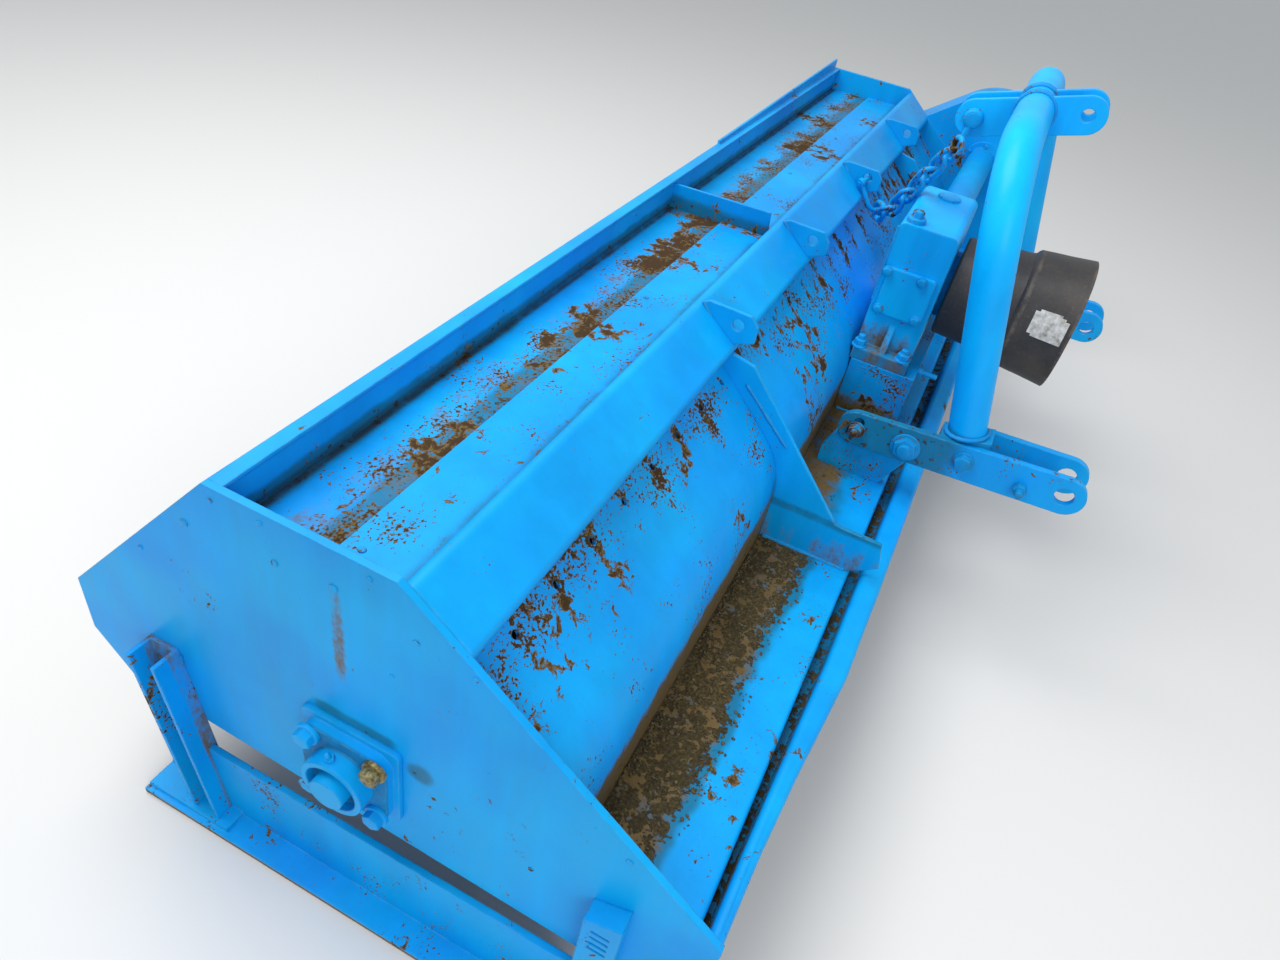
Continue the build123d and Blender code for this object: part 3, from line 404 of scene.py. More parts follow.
def fitted(made, name, body, material, slot, *replaced, smooth=35):
    """Finishes a bmesh as a piece that rides on a body, and stands for the nodes it replaces."""
    bmesh.ops.recalc_face_normals(made, faces=made.faces)
    piece = own(made, name)
    piece.data.shade_smooth()
    piece.data.set_sharp_from_angle(angle=math.radians(smooth))
    piece.data.materials.append(material)
    if body:
        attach(piece, body)
    if replaced:
        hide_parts(*replaced)
    return piece


def upright(place, outward):
    """The turn and shift that stand a shape made along Z on place, pointing outward."""
    return Matrix.Translation(place) @ Vector(outward).to_track_quat("Z", "Y").to_matrix().to_4x4()


def drum(made, seat, low, high, radius, tip=None, segments=28, soft=0.0):
    """Adds a round or many-sided body between two heights above seat, its far rim softened."""
    corners = bmesh.ops.create_cone(
        made, cap_ends=True, segments=segments, radius1=radius, radius2=radius if tip is None else tip,
        depth=high - low, matrix=seat @ Matrix.Translation((0, 0, (low + high) / 2)))["verts"]
    if soft:
        back = seat.inverted()
        edges = dict.fromkeys(edge for corner in corners for edge in corner.link_edges)
        rim = [edge for edge in edges if all((back @ corner.co).z > high - 1e-5 for corner in edge.verts)]
        bmesh.ops.bevel(made, geom=rim, offset=soft, segments=2, profile=0.5, affect="EDGES", material=-1)


def plate_growth(tree, spot):
    """Scabs over the bearing and beside it."""
    over = share(tree, 0.56, band(tree, spot, "Y", at(0, -38, 0).y, 0.050, 0.03), band(
        tree, spot, "Z", at(0, 0, 163).z, 0.003, 0.018))
    beside = share(tree, 0.62, blob(tree, spot, at(0, -136, 132), 0.008, 0.024))
    return calc(tree, "MAXIMUM", over, beside)


def plate_stain(tree, spot):
    """A rusty run below one plug."""
    run = band(tree, spot, "Y", at(0, -22, 0).y, 0.004, 0.016)
    return share(tree, 0.36, run, band(tree, spot, "Z", at(0, 0, 330).z, 0.06, 0.09))


plate_paint = blue_coat("plate_paint", freckles=0.13, growth=plate_growth, stain=plate_stain)
dress(plate_paint, "end_plate_near")
dress(blue_coat("far_plate_paint", freckles=0.30, growth=0.05, stain=0.10), "end_plate_far", "rear_apron",
      "belt_guard_back")
plate_plugs = ((142, 438, 4), (192, 378, 6), (281, 288, 4), (73, 442, 4), (59, 390, 5), (-71, 442, 4),
               (-22, 399, 6), (-129, 379, 5), (-204, 370, 4), (-415, 194, 5), (-96, 300, 3), (-300, 60, 4))
plugs = bmesh.new()
for y, z, radius in plate_plugs:
    drum(plugs, upright(at(0.5, y, z), (-1, 0, 0)), 0, 0.0022, radius / 1000, soft=0.0014, segments=14)
fitted(plugs, "plate_plugs", "machine", blue_coat("plug_paint", freckles=0.55, growth=0.20), "blue_paint")


# Rotor bearings: a square cast flange with a greased cup, on a welded pad, held by four bolts with
# spring washers. One bolt was changed after the repaint and still shows its yellow plating.
def bolt(made, place, outward, across, head, washer=0.0, stud=0.0, turn=0.0):
    """Adds a hexagon head or nut on its washer, with the bolt's end standing out of it."""
    seat = upright(place, outward) @ Matrix.Rotation(turn, 4, "Z")
    if washer:
        drum(made, seat, 0, washer, across * 0.72, soft=washer / 4)
    drum(made, seat, washer, washer + head, across / math.sqrt(3), segments=6, soft=head * 0.16)
    if stud:
        drum(made, seat, washer + head, washer + head + stud, across * 0.32, segments=16, soft=0.0012)


bearing_y, bearing_z = -34, 79
flange_face = -22
bolt_spread = 51


def cup_growth(tree, spot):
    """Growth on the greased cup, where it leaves the flange."""
    cup = blob(tree, spot, at(-34, bearing_y, bearing_z), 0.036, 0.004)
    return share(tree, 0.66, cup, band(tree, spot, "X", at(-33, 0, 0).x, 0.002, 0.012))


def flange_grime(tree, spot):
    """Dirt on the flange's face."""
    return share(tree, 0.5, band(tree, spot, "X", at(flange_face, 0, 0).x, 0.0005, 0.004))


bearing_paint = blue_coat(
    "bearing_paint", edge=0.004, depth=0.0015, freckles=0.16, growth=cup_growth, grime=flange_grime)
dress(bearing_paint, "bearing_near", "bearing_far")
bearing_bolts = bmesh.new()
for side_y, side_z, turn in ((1, 1, 0.2), (1, -1, 0.5), (-1, -1, 0.1)):
    bolt(bearing_bolts, at(flange_face, bearing_y + side_y * bolt_spread, bearing_z + side_z * bolt_spread),
         (-1, 0, 0), 0.024, 0.011, 0.006, 0.0, turn)
fitting_seat = upright(at(-36, bearing_y + 6, bearing_z + 46), (-0.25, 0.12, 1))
drum(bearing_bolts, fitting_seat, 0, 0.006, 0.0065, segments=6, soft=0.001)
drum(bearing_bolts, fitting_seat, 0.006, 0.011, 0.0032, segments=14)
drum(bearing_bolts, fitting_seat, 0.011, 0.0165, 0.0040, 0.0026, segments=14, soft=0.001)
bearing_bolt_paint = blue_coat("bolt_paint", freckles=0.34, growth=0.12, edge=0.0015)
fitted(bearing_bolts, "bearing_bolts", "machine", bearing_bolt_paint, "bearing_paint")
plated, plated_tree, plated_shader, plated_spot = blank_finish("yellow_plating")
feed(plated_tree, plated_shader.inputs["Base Color"], ramp(
    plated_tree, grain(plated_tree, plated_spot, 160.0, 5.0, 0.7),
    (0.32, (0.055, 0.035, 0.014)), (0.50, (0.26, 0.20, 0.07)), (0.68, (0.42, 0.38, 0.20))))
feed(plated_tree, plated_shader.inputs["Metallic"], stepped(
    plated_tree, grain(plated_tree, plated_spot, 120.0, 4.0), 0.36, 0.58, 0.0, 0.75))
plated_shader.inputs["Roughness"].default_value = 0.42
changed_bolt = bmesh.new()
changed_place = at(flange_face, bearing_y - bolt_spread, bearing_z + bolt_spread)
bolt(changed_bolt, changed_place, (-1, 0, 0), 0.024, 0.012, 0.006)
fitted(changed_bolt, "changed_bearing_bolt", "machine", plated, "bearing_paint")


# Skids: flat shoes with an upturned toe and a rail, worn bright underneath, on channel posts whose
# insides hold brown dirt, with slotted adjusters ahead.
def bar(made, path, radius, closed=False, swell=None, sides=4):
    """Adds a round bar along a path; swell holds the radius factor at each point."""
    line = bpy.data.curves.new("bar", "CURVE")
    line.dimensions = "3D"
    line.bevel_depth = radius
    line.bevel_resolution = sides
    line.use_fill_caps = True
    spline = line.splines.new("POLY")
    spline.points.add(len(path) - 1)
    for index, point in enumerate(path):
        spline.points[index].co = (*point, 1)
        spline.points[index].radius = swell[index] if swell else 1
    spline.use_cyclic_u = closed
    holder = bpy.data.objects.new("bar", line)
    mesh = bpy.data.meshes.new_from_object(holder)
    made.from_mesh(mesh)
    for spent, store in ((holder, bpy.data.objects), (line, bpy.data.curves), (mesh, bpy.data.meshes)):
        store.remove(spent)


def weld(made, start, end, radius=0.0035):
    """Adds a hand-laid weld bead, a bar with uneven ripples."""
    run = end - start
    count = max(3, int(run.length / (radius * 1.1)))
    path = [start + run * (step / count) for step in range(count + 1)]
    swell = [0.72 + 0.30 * abs(math.sin(step * 1.7)) + 0.35 * noise.noise(point * 70)
             for step, point in enumerate(path)]
    bar(made, path, radius, swell=swell, sides=1)


def skid_wear(tree, spot):
    """A brown line along the shoe's underside."""
    return band(tree, spot, "Z", at(0, 0, -245).z, 0.003, 0.006)


dress(blue_coat("skid_paint", freckles=0.36, growth=0.08, stain=skid_wear, edge=0.004),
      "skid_near", "skid_far", "skid_adjuster_near", "skid_adjuster_far")


def post_dirt(tree, spot):
    """Brown dirt inside the channel."""
    inside = band(tree, spot, "X", at(-8, 0, 0).x, 0.009, 0.012)
    return share(tree, 0.42, inside)


dress(blue_coat("post_paint", freckles=0.34, growth=0.06, stain=post_dirt), "skid_post_near", "skid_post_far")
post_welds = bmesh.new()
for y, z, y_end, z_end in ((258, 96, 258, -224), (186, -226, 342, -226)):
    weld(post_welds, at(-2, y, z), at(-2, y_end, z_end), 0.004)
post_weld_paint = blue_coat("post_weld_paint", freckles=0.4, grime=0.35)
fitted(post_welds, "post_welds", "machine", post_weld_paint, "blue_paint")

# Beam: a folded box along the top, the cleanest surface after the end plate, with a few rust spots.
# The black band along the beam's rear bend, where it meets the trough, is painted shade.
dress(blue_coat("beam_paint", freckles=0.15, edge=0.006, growth=lambda tree, spot: share(
    tree, 0.34, band(tree, spot, "Z", at(0, 0, 375).z, 0.004, 0.02)), grime=lambda tree, spot: share(
    tree, 0.55, band(tree, spot, "Y", at(0, -97, 0).y, 0.001, 0.006))), "hood_beam")


# Front hood sheet: a rolled sheet with a row of drain holes. Rust weeps from the holes, brown film
# rises from the ledge, and growth follows the joint.
def hood_film(tree, spot):
    """Brown film that rises from the ledge."""
    low = rise(tree, spot, "Z", at(0, 0, 200).z, at(0, 0, 50).z)
    return share(tree, 0.86, low)


def drain_rust(tree, spot):
    """Rust that weeps from each drain hole."""
    along = put(tree, "ShaderNodeSeparateXYZ", {"Vector": spot}).outputs["X"]
    nearest = calc(tree, "PINGPONG", calc(tree, "SUBTRACT", along, at(100, 0, 0).x), 0.0475)
    under = stepped(tree, nearest, 0.003, 0.019, 1.0, 0.0)
    run = share(tree, 0.22, under, band(tree, spot, "Z", at(0, 0, 322).z, 0.012, 0.05))
    upper = share(tree, 0.20, rise(tree, spot, "Z", at(0, 0, 240).z, at(0, 0, 330).z))
    return calc(tree, "ADD", run, upper, 0.36)


def hood_growth(tree, spot):
    """Growth along the joint with the ledge and beside the rib."""
    joint = share(tree, 0.72, rise(tree, spot, "Z", at(0, 0, 66).z, at(0, 0, 36).z))
    rib_side = share(tree, 0.5, band(tree, spot, "X", at(790, 0, 0).x, 0.006, 0.05), rise(
        tree, spot, "Z", at(0, 0, 300).z, at(0, 0, 90).z))
    return calc(tree, "MAXIMUM", joint, rib_side)


def hood_foot_grime(tree, spot):
    """Painted shade: a black band in the joint with the ledge."""
    return share(tree, 0.6, band(tree, spot, "Z", at(0, 0, 30).z, 0.002, 0.008))


hood_paint = blue_coat(
    "hood_paint", stain=hood_film, freckles=drain_rust, growth=hood_growth, grime=hood_foot_grime)
dress(hood_paint, "hood_sheet")


# Trough: two lapped sheets where water stands. Rust clumps follow the seam, and moss sits in the rear corner.
def seam_rust(tree, spot):
    """Rust clumps behind the seam."""
    behind = band(tree, spot, "Y", at(0, 34, 0).y, 0.022, 0.045)
    return calc(tree, "ADD", share(tree, 0.34, behind), 0.40)


def trough_moss(tree, spot):
    """Moss in the rear corner, at the ends and along the seam."""
    corner = rise(tree, spot, "Y", at(0, 106, 0).y, at(0, 130, 0).y)
    near = share(tree, 0.62, corner, rise(tree, spot, "X", at(900, 0, 0).x, at(500, 0, 0).x))
    ends = share(tree, 0.6, band(tree, spot, "X", at(12, 0, 0).x, 0.012, 0.05))
    stop = share(tree, 0.6, band(tree, spot, "X", at(1252, 0, 0).x, 0.014, 0.05))
    seam = share(tree, 0.60, band(tree, spot, "Y", at(0, 26, 0).y, 0.012, 0.03))
    return calc(tree, "MAXIMUM", near, ends, stop, seam)


# The black band in the trough's rear corner is painted shade.
dress(blue_coat("trough_rear_paint", freckles=seam_rust, growth=trough_moss, stain=lambda tree, spot: share(
    tree, 0.34, band(tree, spot, "Y", at(0, 40, 0).y, 0.03, 0.06)), grime=lambda tree, spot: share(
    tree, 0.8, band(tree, spot, "Y", at(0, 130, 0).y, 0.002, 0.008))), "trough_rear_sheet")
# The black band along the front sheet's edge under the beam is painted shade.
dress(blue_coat("trough_front_paint", freckles=0.45, growth=lambda tree, spot: share(tree, 0.5, band(
    tree, spot, "Y", at(0, -92, 0).y, 0.006, 0.03)), grime=lambda tree, spot: share(tree, 0.9, band(
    tree, spot, "Y", at(0, -95, 0).y, 0.003, 0.008)), edge=0.002), "trough_front_sheet")
trough_plugs = bmesh.new()
for x, y in ((60, -11), (826, -6), (1670, -8), (2545, 0)):
    drum(trough_plugs, upright(at(x, y, 400.5), (0, 0, 1)), 0, 0.0024, 0.0052, soft=0.0015, segments=14)
trough_plug_paint = blue_coat("trough_plug_paint", freckles=0.6, growth=0.3)
fitted(trough_plugs, "trough_plugs", "machine", trough_plug_paint, "blue_paint")

# Rear flange: an angle whose lip turns out over the apron. Its top is worn pale in streaks, and a
# welded strip rises behind the far half.
# The black band at the flange's foot, in the corner with the trough, is painted shade.
flange_paint = blue_coat(
    "flange_paint", paint=(0.006, 0.325, 0.78), freckles=0.24, edge=0.005,
    growth=lambda tree, spot: share(tree, 0.62, band(tree, spot, "Z", at(0, 0, 398).z, 0.008, 0.022)),
    grime=lambda tree, spot: share(tree, 0.5, band(tree, spot, "Z", at(0, 0, 396).z, 0.002, 0.008)))
dress(flange_paint, "rear_flange")
dress(blue_coat("divider_paint", freckles=0.3, growth=lambda tree, spot: share(tree, 0.6, band(
    tree, spot, "Z", at(0, 0, 400).z, 0.010, 0.03)), edge=0.003), "trough_divider")


# Ledge: a flat sheet before the hood, where leaves rot. A crust of growth covers its rear two thirds
# near the end plate and thins beyond the rib.
def ledge_growth(tree, spot):
    """The crust of rotted leaves, thinner beyond the rib."""
    shifted = calc(tree, "ADD", put(tree, "ShaderNodeSeparateXYZ", {"Vector": spot}).outputs["Y"], swing(
        tree, grain(tree, spot, 4.5, 3.0), 0.10))
    rear = stepped(tree, shifted, at(0, -472, 0).y, at(0, -425, 0).y)
    beyond = rise(tree, spot, "X", at(780, 0, 0).x, at(830, 0, 0).x)
    near = share(tree, 0.82, rear, calc(tree, "SUBTRACT", 1.0, beyond))
    far = share(tree, 0.50, rear, beyond)
    return calc(tree, "ADD", near, far, 0.06)


ledge_paint = blue_coat(
    "ledge_paint", depth=0.0022, freckles=0.34, growth=ledge_growth,
    stain=lambda tree, spot: share(tree, 0.55, rise(tree, spot, "Y", at(0, -470, 0).y, at(0, -400, 0).y)))
dress(ledge_paint, "front_ledge")
dirt, dirt_tree, dirt_shader, dirt_spot = blank_finish("rotted_leaf")
feed(dirt_tree, dirt_shader.inputs["Base Color"], ramp(
    dirt_tree, grain(dirt_tree, dirt_spot, 130.0, 4.0, 0.7), *crust_stops))
feed(dirt_tree, dirt_shader.inputs["Roughness"], stepped(
    dirt_tree, grain(dirt_tree, dirt_spot, 300.0, 2.0), 0.3, 0.7, 0.85, 0.98))
feed(dirt_tree, dirt_shader.inputs["Normal"], put(dirt_tree, "ShaderNodeBump", {
    "Height": grain(dirt_tree, dirt_spot, 400.0, 4.0), "Distance": 0.0008}).outputs["Normal"])
chance = random.Random(7)
crumb_mesh = bmesh.new()
for _ in range(1500):
    x = 14 + 775 * chance.random()
    y = -336 - 118 * chance.random() ** 1.7
    if noise.noise(Vector((x / 60, y / 35, 0))) < -0.12:
        continue
    size = chance.uniform(0.0009, 0.0034)
    turn = Matrix.Rotation(chance.uniform(0, 3.1), 4, Vector((chance.random(), chance.random(), 1)))
    squash = Matrix.Diagonal((
        chance.uniform(0.8, 1.8), chance.uniform(0.7, 1.3), chance.uniform(0.4, 0.8), 1))
    bmesh.ops.create_icosphere(crumb_mesh, subdivisions=1, radius=size,
                               matrix=Matrix.Translation(at(x, y, 30.4)) @ turn @ squash)
fitted(crumb_mesh, "ledge_crumbs", "machine", dirt, "blue_paint", smooth=60)

# Front lip: a folded strip before the ledge, knocked back towards the near end, so that its edge waves.
# Damp dirt lies in the groove between it and the ledge.
lip_places = (10, 40, 184, 336, 555, 776, 2590)
lip_knocks = (30, 30, 27, 19, 2, 0, 0)


def lip_knock(x):
    """How far the lip is knocked back at x from the near end plate."""
    for start, end, first, last in zip(lip_places, lip_places[1:], lip_knocks, lip_knocks[1:]):
        if x <= end:
            return first + (last - first) * max(0.0, x - start) / (end - start)
    return 0


lip = bmesh.new()
lip.from_mesh(nodes["front_lip"].data)
bmesh.ops.remove_doubles(lip, verts=lip.verts, dist=1e-6)
for cut in range(30, 820, 24):
    bmesh.ops.bisect_plane(lip, geom=lip.verts[:] + lip.edges[:] + lip.faces[:], dist=1e-7,
                           plane_co=at(cut, 0, 0), plane_no=(1, 0, 0))
lip_zero = at(0, 0, 0)
for corner in lip.verts:
    knock = lip_knock((corner.co.x - lip_zero.x) * 1000)
    ripple = 1.6 * noise.noise(Vector((corner.co.x * 5, 0.3, 0))) if knock else 0
    depth = -559 - (corner.co.y - lip_zero.y) * 1000
    if depth > 0:
        corner.co.y += (knock + ripple) / 1000
    elif depth > -32 and corner.co.z > at(0, 0, 2).z:
        corner.co.y += knock / 3000
lip_paint = blue_coat("lip_paint", freckles=0.26, edge=0.004, depth=0.0016, growth=lambda tree, spot: share(
    tree, 0.80, band(tree, spot, "Y", at(0, -522, 0).y, 0.010, 0.012), band(
        tree, spot, "Z", at(0, 0, 4).z, 0.012, 0.016)))
fitted(lip, "knocked_lip", "machine", lip_paint, "blue_paint", "front_lip", smooth=25)

# Ears on the beam and ribs down to the ledge, each welded along its foot with a hand-laid bead.
dress(blue_coat("ear_paint", freckles=0.22, edge=0.004, growth=0.06), "beam_ears")


def rib_stain(tree, spot):
    """Brown film on the ribs' lower parts."""
    return share(tree, 0.36, rise(tree, spot, "Z", at(0, 0, 160).z, at(0, 0, 50).z))


rib_paint = blue_coat(
    "rib_paint", freckles=0.30, edge=0.004, stain=rib_stain,
    growth=lambda tree, spot: share(tree, 0.5, band(tree, spot, "Z", at(0, 0, 118).z, 0.003, 0.016)))
dress(rib_paint, "front_ribs")
seams = bmesh.new()
ear_places = (795, 1240, 1720, 2200)
for x in ear_places:
    for edge in (0, 8):
        weld(seams, at(x + edge, -120, 450), at(x + edge, -188, 376))
for x in (795, 2200):
    for edge in (0, 8):
        weld(seams, at(x + edge, -340, 31), at(x + edge, -505, 31), 0.0045)
        weld(seams, at(x + edge, -230, 330), at(x + edge, -330, 238), 0.0035)
fitted(seams, "ear_welds", "machine", blue_coat("weld_paint", freckles=0.34, grime=0.30), "blue_paint")

# Gearbox: a painted casting on a machined foot, with a bolted cover, an oil plug on top and a casting line.
cast_blue = dict(freckles=0.22, depth=0.0018, edge=0.006)
# The gearbox takes the lighter blue, which is painted sunlight.
dress(blue_coat("gearbox_paint", paint=painted_sunlight_blue, growth=lambda tree, spot: share(tree, 0.52, rise(
    tree, spot, "Z", at(0, 0, 225).z, at(0, 0, 185).z)), stain=lambda tree, spot: share(
    tree, 0.42, rise(tree, spot, "Z", at(0, 0, 330).z, at(0, 0, 200).z)), **cast_blue),
    "gearbox_housing", "gearbox_cover")
hitch_x, drive_y, drive_z = 1545, -394, 315
gearbox_bolts = bmesh.new()
for y, z, turn in ((-342, 375, 0.1), (-418, 375, 0.4), (-434, 288, 0.2), (-350, 288, 0.5)):
    bolt(gearbox_bolts, at(1355, y, z), (-1, 0, 0), 0.017, 0.008, 0.0025, 0.0, turn)
for x in (1346, 1669):
    for y in (-340, -440):
        bolt(gearbox_bolts, at(x, y, 193), (0, 0, 1), 0.024, 0.014, 0.004, 0.010, 0.3)
plug_seat = upright(at(1392, -358, 478), (0, 0, 1))
drum(gearbox_bolts, plug_seat, 0, 0.012, 0.020, soft=0.002)
drum(gearbox_bolts, plug_seat, 0.012, 0.026, 0.0125, segments=6, soft=0.002)
drum(gearbox_bolts, upright(at(1600, -394, 478), (0, 0, 1)), 0, 0.008, 0.026, soft=0.002)
input_circle = 58.28
for angle in range(0, 360, 60):
    turned = math.radians(angle + 15)
    head_x, head_z = hitch_x + input_circle * math.cos(turned), drive_z + input_circle * math.sin(turned)
    bolt(gearbox_bolts, at(head_x, -458, head_z), (0, -1, 0), 0.013, 0.007, 0.0)
bar(gearbox_bolts, [at(1366, -330.5, 300), at(1366, -330.5, 470)], 0.0025, sides=2)
fitted(gearbox_bolts, "gearbox_bolts", "machine", blue_coat("gearbox_bolt_paint", freckles=0.42, growth=0.22),
       "gearbox_paint")


# Mount: a folded pedestal on the ledge that carries the gearbox on a slide pad, with a tension screw.
def mount_stain(tree, spot):
    """Brown dirt on the pedestal's foot."""
    return share(tree, 0.55, rise(tree, spot, "Z", at(0, 0, 130).z, at(0, 0, 40).z))


def mount_growth(tree, spot):
    """Growth that climbs from the ledge."""
    return calc(tree, "ADD", share(tree, 0.5, rise(tree, spot, "Z", at(0, 0, 80).z, at(0, 0, 34).z)), 0.20)


mount_paint = blue_coat("mount_paint", freckles=0.46, edge=0.004, stain=mount_stain, growth=mount_growth)
dress(mount_paint, "gearbox_mount")
tension = bmesh.new()
bolt(tension, at(1395, -482, 158), (0, -1, 0), 0.019, 0.010, 0.0, 0.034, 0.3)
weld(tension, at(1332, -342, 153), at(1332, -474, 153), 0.004)
weld(tension, at(1327, -342, 32), at(1327, -480, 32), 0.004)
fitted(tension, "tension_screw", "machine", blue_coat("screw_paint", freckles=0.5, growth=0.3), "blue_paint")

# Cross tube to the belt guard, and the guard itself: a thin pressed cover over a back plate.
dress(blue_coat("tube_paint", freckles=0.26, growth=0.10), "cross_tube")
dress(blue_coat("belt_cover_paint", freckles=0.24, growth=lambda tree, spot: share(
    tree, 0.35, rise(tree, spot, "Z", at(0, 0, 440).z, at(0, 0, 500).z)), edge=0.005), "belt_guard_cover")


def round_drive(x, radius, angle):
    """A point on a circle about the drive's axis, its angle in degrees from the rear."""
    turned = math.radians(angle)
    return at(x, drive_y + radius * math.cos(turned), drive_z + radius * math.sin(turned))


flange_heads = bmesh.new()
for x, facing in ((1674, 1), (2579, -1)):
    for angle in range(30, 390, 60):
        bolt(flange_heads, round_drive(x, 49, angle), (facing, 0, 0), 0.010, 0.006)
for angle in range(0, 360, 45):
    bolt(flange_heads, round_drive(2749.5, 165, angle), (1, 0, 0), 0.013, 0.0004)
fitted(flange_heads, "flange_bolts", "machine", blue_coat("flange_bolt_paint", freckles=0.4), "blue_paint")

# Input shaft: a splined steel stub, greased, inside a bell guard of thick black rubber. The guard is
# dusty, and a tan line at its collar and at its lip is painted highlight along those ridges, partly dust.
steel, steel_tree, steel_shader, steel_spot = blank_finish("greased_steel")
feed(steel_tree, steel_shader.inputs["Base Color"], ramp(
    steel_tree, grain(steel_tree, steel_spot, 60.0, 6.0, 0.7),
    (0.30, (0.035, 0.024, 0.015)), (0.50, (0.20, 0.18, 0.16)), (0.70, (0.46, 0.44, 0.41))))
feed(steel_tree, steel_shader.inputs["Metallic"], stepped(
    steel_tree, grain(steel_tree, steel_spot, 60.0, 6.0, 0.7), 0.35, 0.55, 0.2, 0.95))
feed(steel_tree, steel_shader.inputs["Roughness"], stepped(
    steel_tree, grain(steel_tree, steel_spot, 30.0, 4.0), 0.3, 0.7, 0.28, 0.52))
dress(steel, "pto_shaft")

rubber, rubber_tree, rubber_shader, rubber_spot = blank_finish("guard_rubber")
dusty = grain(rubber_tree, rubber_spot, 9.0, 6.0, 0.65)
speckled = grain(rubber_tree, rubber_spot, 150.0, 4.0, 0.7)
# Tan lines along the collar and the lip: painted highlight on those ridges, partly dust.
collar_dust_and_highlight = band(rubber_tree, rubber_spot, "Y", at(0, -629, 0).y, 0.0016, 0.0045)
rim_dust_and_highlight = band(rubber_tree, rubber_spot, "Y", at(0, -740, 0).y, 0.002, 0.005)
dust_and_highlight = calc(rubber_tree, "ADD", share(rubber_tree, 0.30, stepped(rubber_tree, dusty, 0.40, 0.75)), share(
    rubber_tree, 0.20, stepped(rubber_tree, speckled, 0.55, 0.66)), share(
    rubber_tree, 0.55, calc(rubber_tree, "MAXIMUM", collar_dust_and_highlight, rim_dust_and_highlight), stepped(
        rubber_tree, grain(rubber_tree, rubber_spot, 40.0, 4.0), 0.36, 0.62)))
feed(rubber_tree, rubber_shader.inputs["Base Color"], mixed(
    rubber_tree, dust_and_highlight, (0.030, 0.027, 0.027), (0.150, 0.118, 0.082)))
feed(rubber_tree, rubber_shader.inputs["Roughness"], calc(
    rubber_tree, "ADD", share(rubber_tree, 0.3, dust_and_highlight), 0.46))
feed(rubber_tree, rubber_shader.inputs["Normal"], put(rubber_tree, "ShaderNodeBump", {
    "Height": calc(rubber_tree, "ADD", speckled, dusty), "Distance": 0.0007}).outputs["Normal"])

# The bell's section: radius and place along the shaft. The round bell is pressed a little square at its mouth.
guard_profile = (
    (40, -470), (107, -470), (112, -475), (116.5, -560), (119.5, -610), (121, -617), (127, -621), (131, -626),
    (131.5, -632), (134, -655), (137, -690), (142.5, -738), (142.8, -740), (141.5, -741), (138.6, -740),
    (137.5, -736), (132, -690), (126.5, -634), (125, -628), (117, -622), (115, -612), (107, -478), (104, -475),
    (40, -475))
bell_squareness = 0.016
bell = bmesh.new()
corners = [bell.verts.new(at(hitch_x, y, drive_z + radius)) for radius, y in guard_profile]
loop = [bell.edges.new(pair) for pair in zip(corners, corners[1:] + corners[:1])]
bmesh.ops.spin(bell, geom=corners + loop, cent=at(hitch_x, 0, drive_z), axis=(0, 1, 0), dvec=(0, 0, 0),
               angle=math.tau, steps=96, use_merge=True)
bmesh.ops.remove_doubles(bell, verts=bell.verts, dist=1e-5)
bell_axis = at(hitch_x, 0, drive_z)
for corner in bell.verts:
    across, tall = corner.co.x - bell_axis.x, corner.co.z - bell_axis.z
    turned = math.atan2(tall, across)
    forward = min(1, max(0, (corner.co.y - at(0, -470, 0).y) / -0.15))
    squared = 1 + bell_squareness * (1 - math.cos(4 * turned)) * forward
    sag = 1 + 0.0035 * noise.noise(corner.co * 9)
    corner.co.x, corner.co.z = bell_axis.x + across * squared * sag, bell_axis.z + tall * squared * sag
fitted(bell, "bell_guard", "machine", rubber, "guard_plastic", "pto_guard")

# Label: a worn, torn paper label on the guard's near side, its print gone.
label_paper, label_tree, label_shader, label_spot = blank_finish("worn_label")
feed(label_tree, label_shader.inputs["Base Color"], ramp(
    label_tree, grain(label_tree, label_spot, 70.0, 5.0, 0.65),
    (0.30, (0.20, 0.17, 0.13)), (0.46, (0.48, 0.46, 0.42)), (0.62, (0.66, 0.65, 0.62))))
feed(label_tree, label_shader.inputs["Roughness"], stepped(
    label_tree, grain(label_tree, label_spot, 40.0, 3.0), 0.3, 0.7, 0.45, 0.7))
label = bmesh.new()
label_rows, label_steps = 8, 12
label_gap = 1.3
rear_radius, mouth_radius = 133.2, 143.4
grid = []
for row in range(label_rows + 1):
    y = -656 - 72 * row / label_rows
    reach = rear_radius + (mouth_radius - rear_radius) * (-(y + 655)) / 85
    line = []
    for step in range(label_steps + 1):
        turned = math.radians(178 - 25 * step / label_steps)
        stand = (reach + label_gap) * (1 + bell_squareness * (1 - math.cos(4 * turned)))
        line.append(label.verts.new(at(
            hitch_x + stand * math.cos(turned), y, drive_z + stand * math.sin(turned))))
    grid.append(line)
for row in range(label_rows):
    for step in range(label_steps):
        torn = (row, step) in ((0, 0), (7, 11), (7, 10), (6, 11), (0, 11))
        if not torn:
            upper, lower = grid[row], grid[row + 1]
            label.faces.new((upper[step], upper[step + 1], lower[step + 1], lower[step]))
for corner in [corner for corner in label.verts if not corner.link_faces]:
    label.verts.remove(corner)
bmesh.ops.recalc_face_normals(label, faces=label.faces)
bmesh.ops.solidify(label, geom=label.faces[:], thickness=0.0005)
fitted(label, "guard_label", "machine", label_paper, "guard_plastic")


# Hitch lugs and arms: lugs stand on the ledge behind the outer arm plates, and the arms pivot on them.
# Moss grows on the arms from the rear to the arch's foot, and the tips are clean.
def arm_moss(tree, spot):
    """Moss from the arms' rear to the arch's foot."""
    rear = rise(tree, spot, "Y", at(0, -655, 0).y, at(0, -590, 0).y)
    return calc(tree, "ADD", share(tree, 0.58, rear), 0.04)


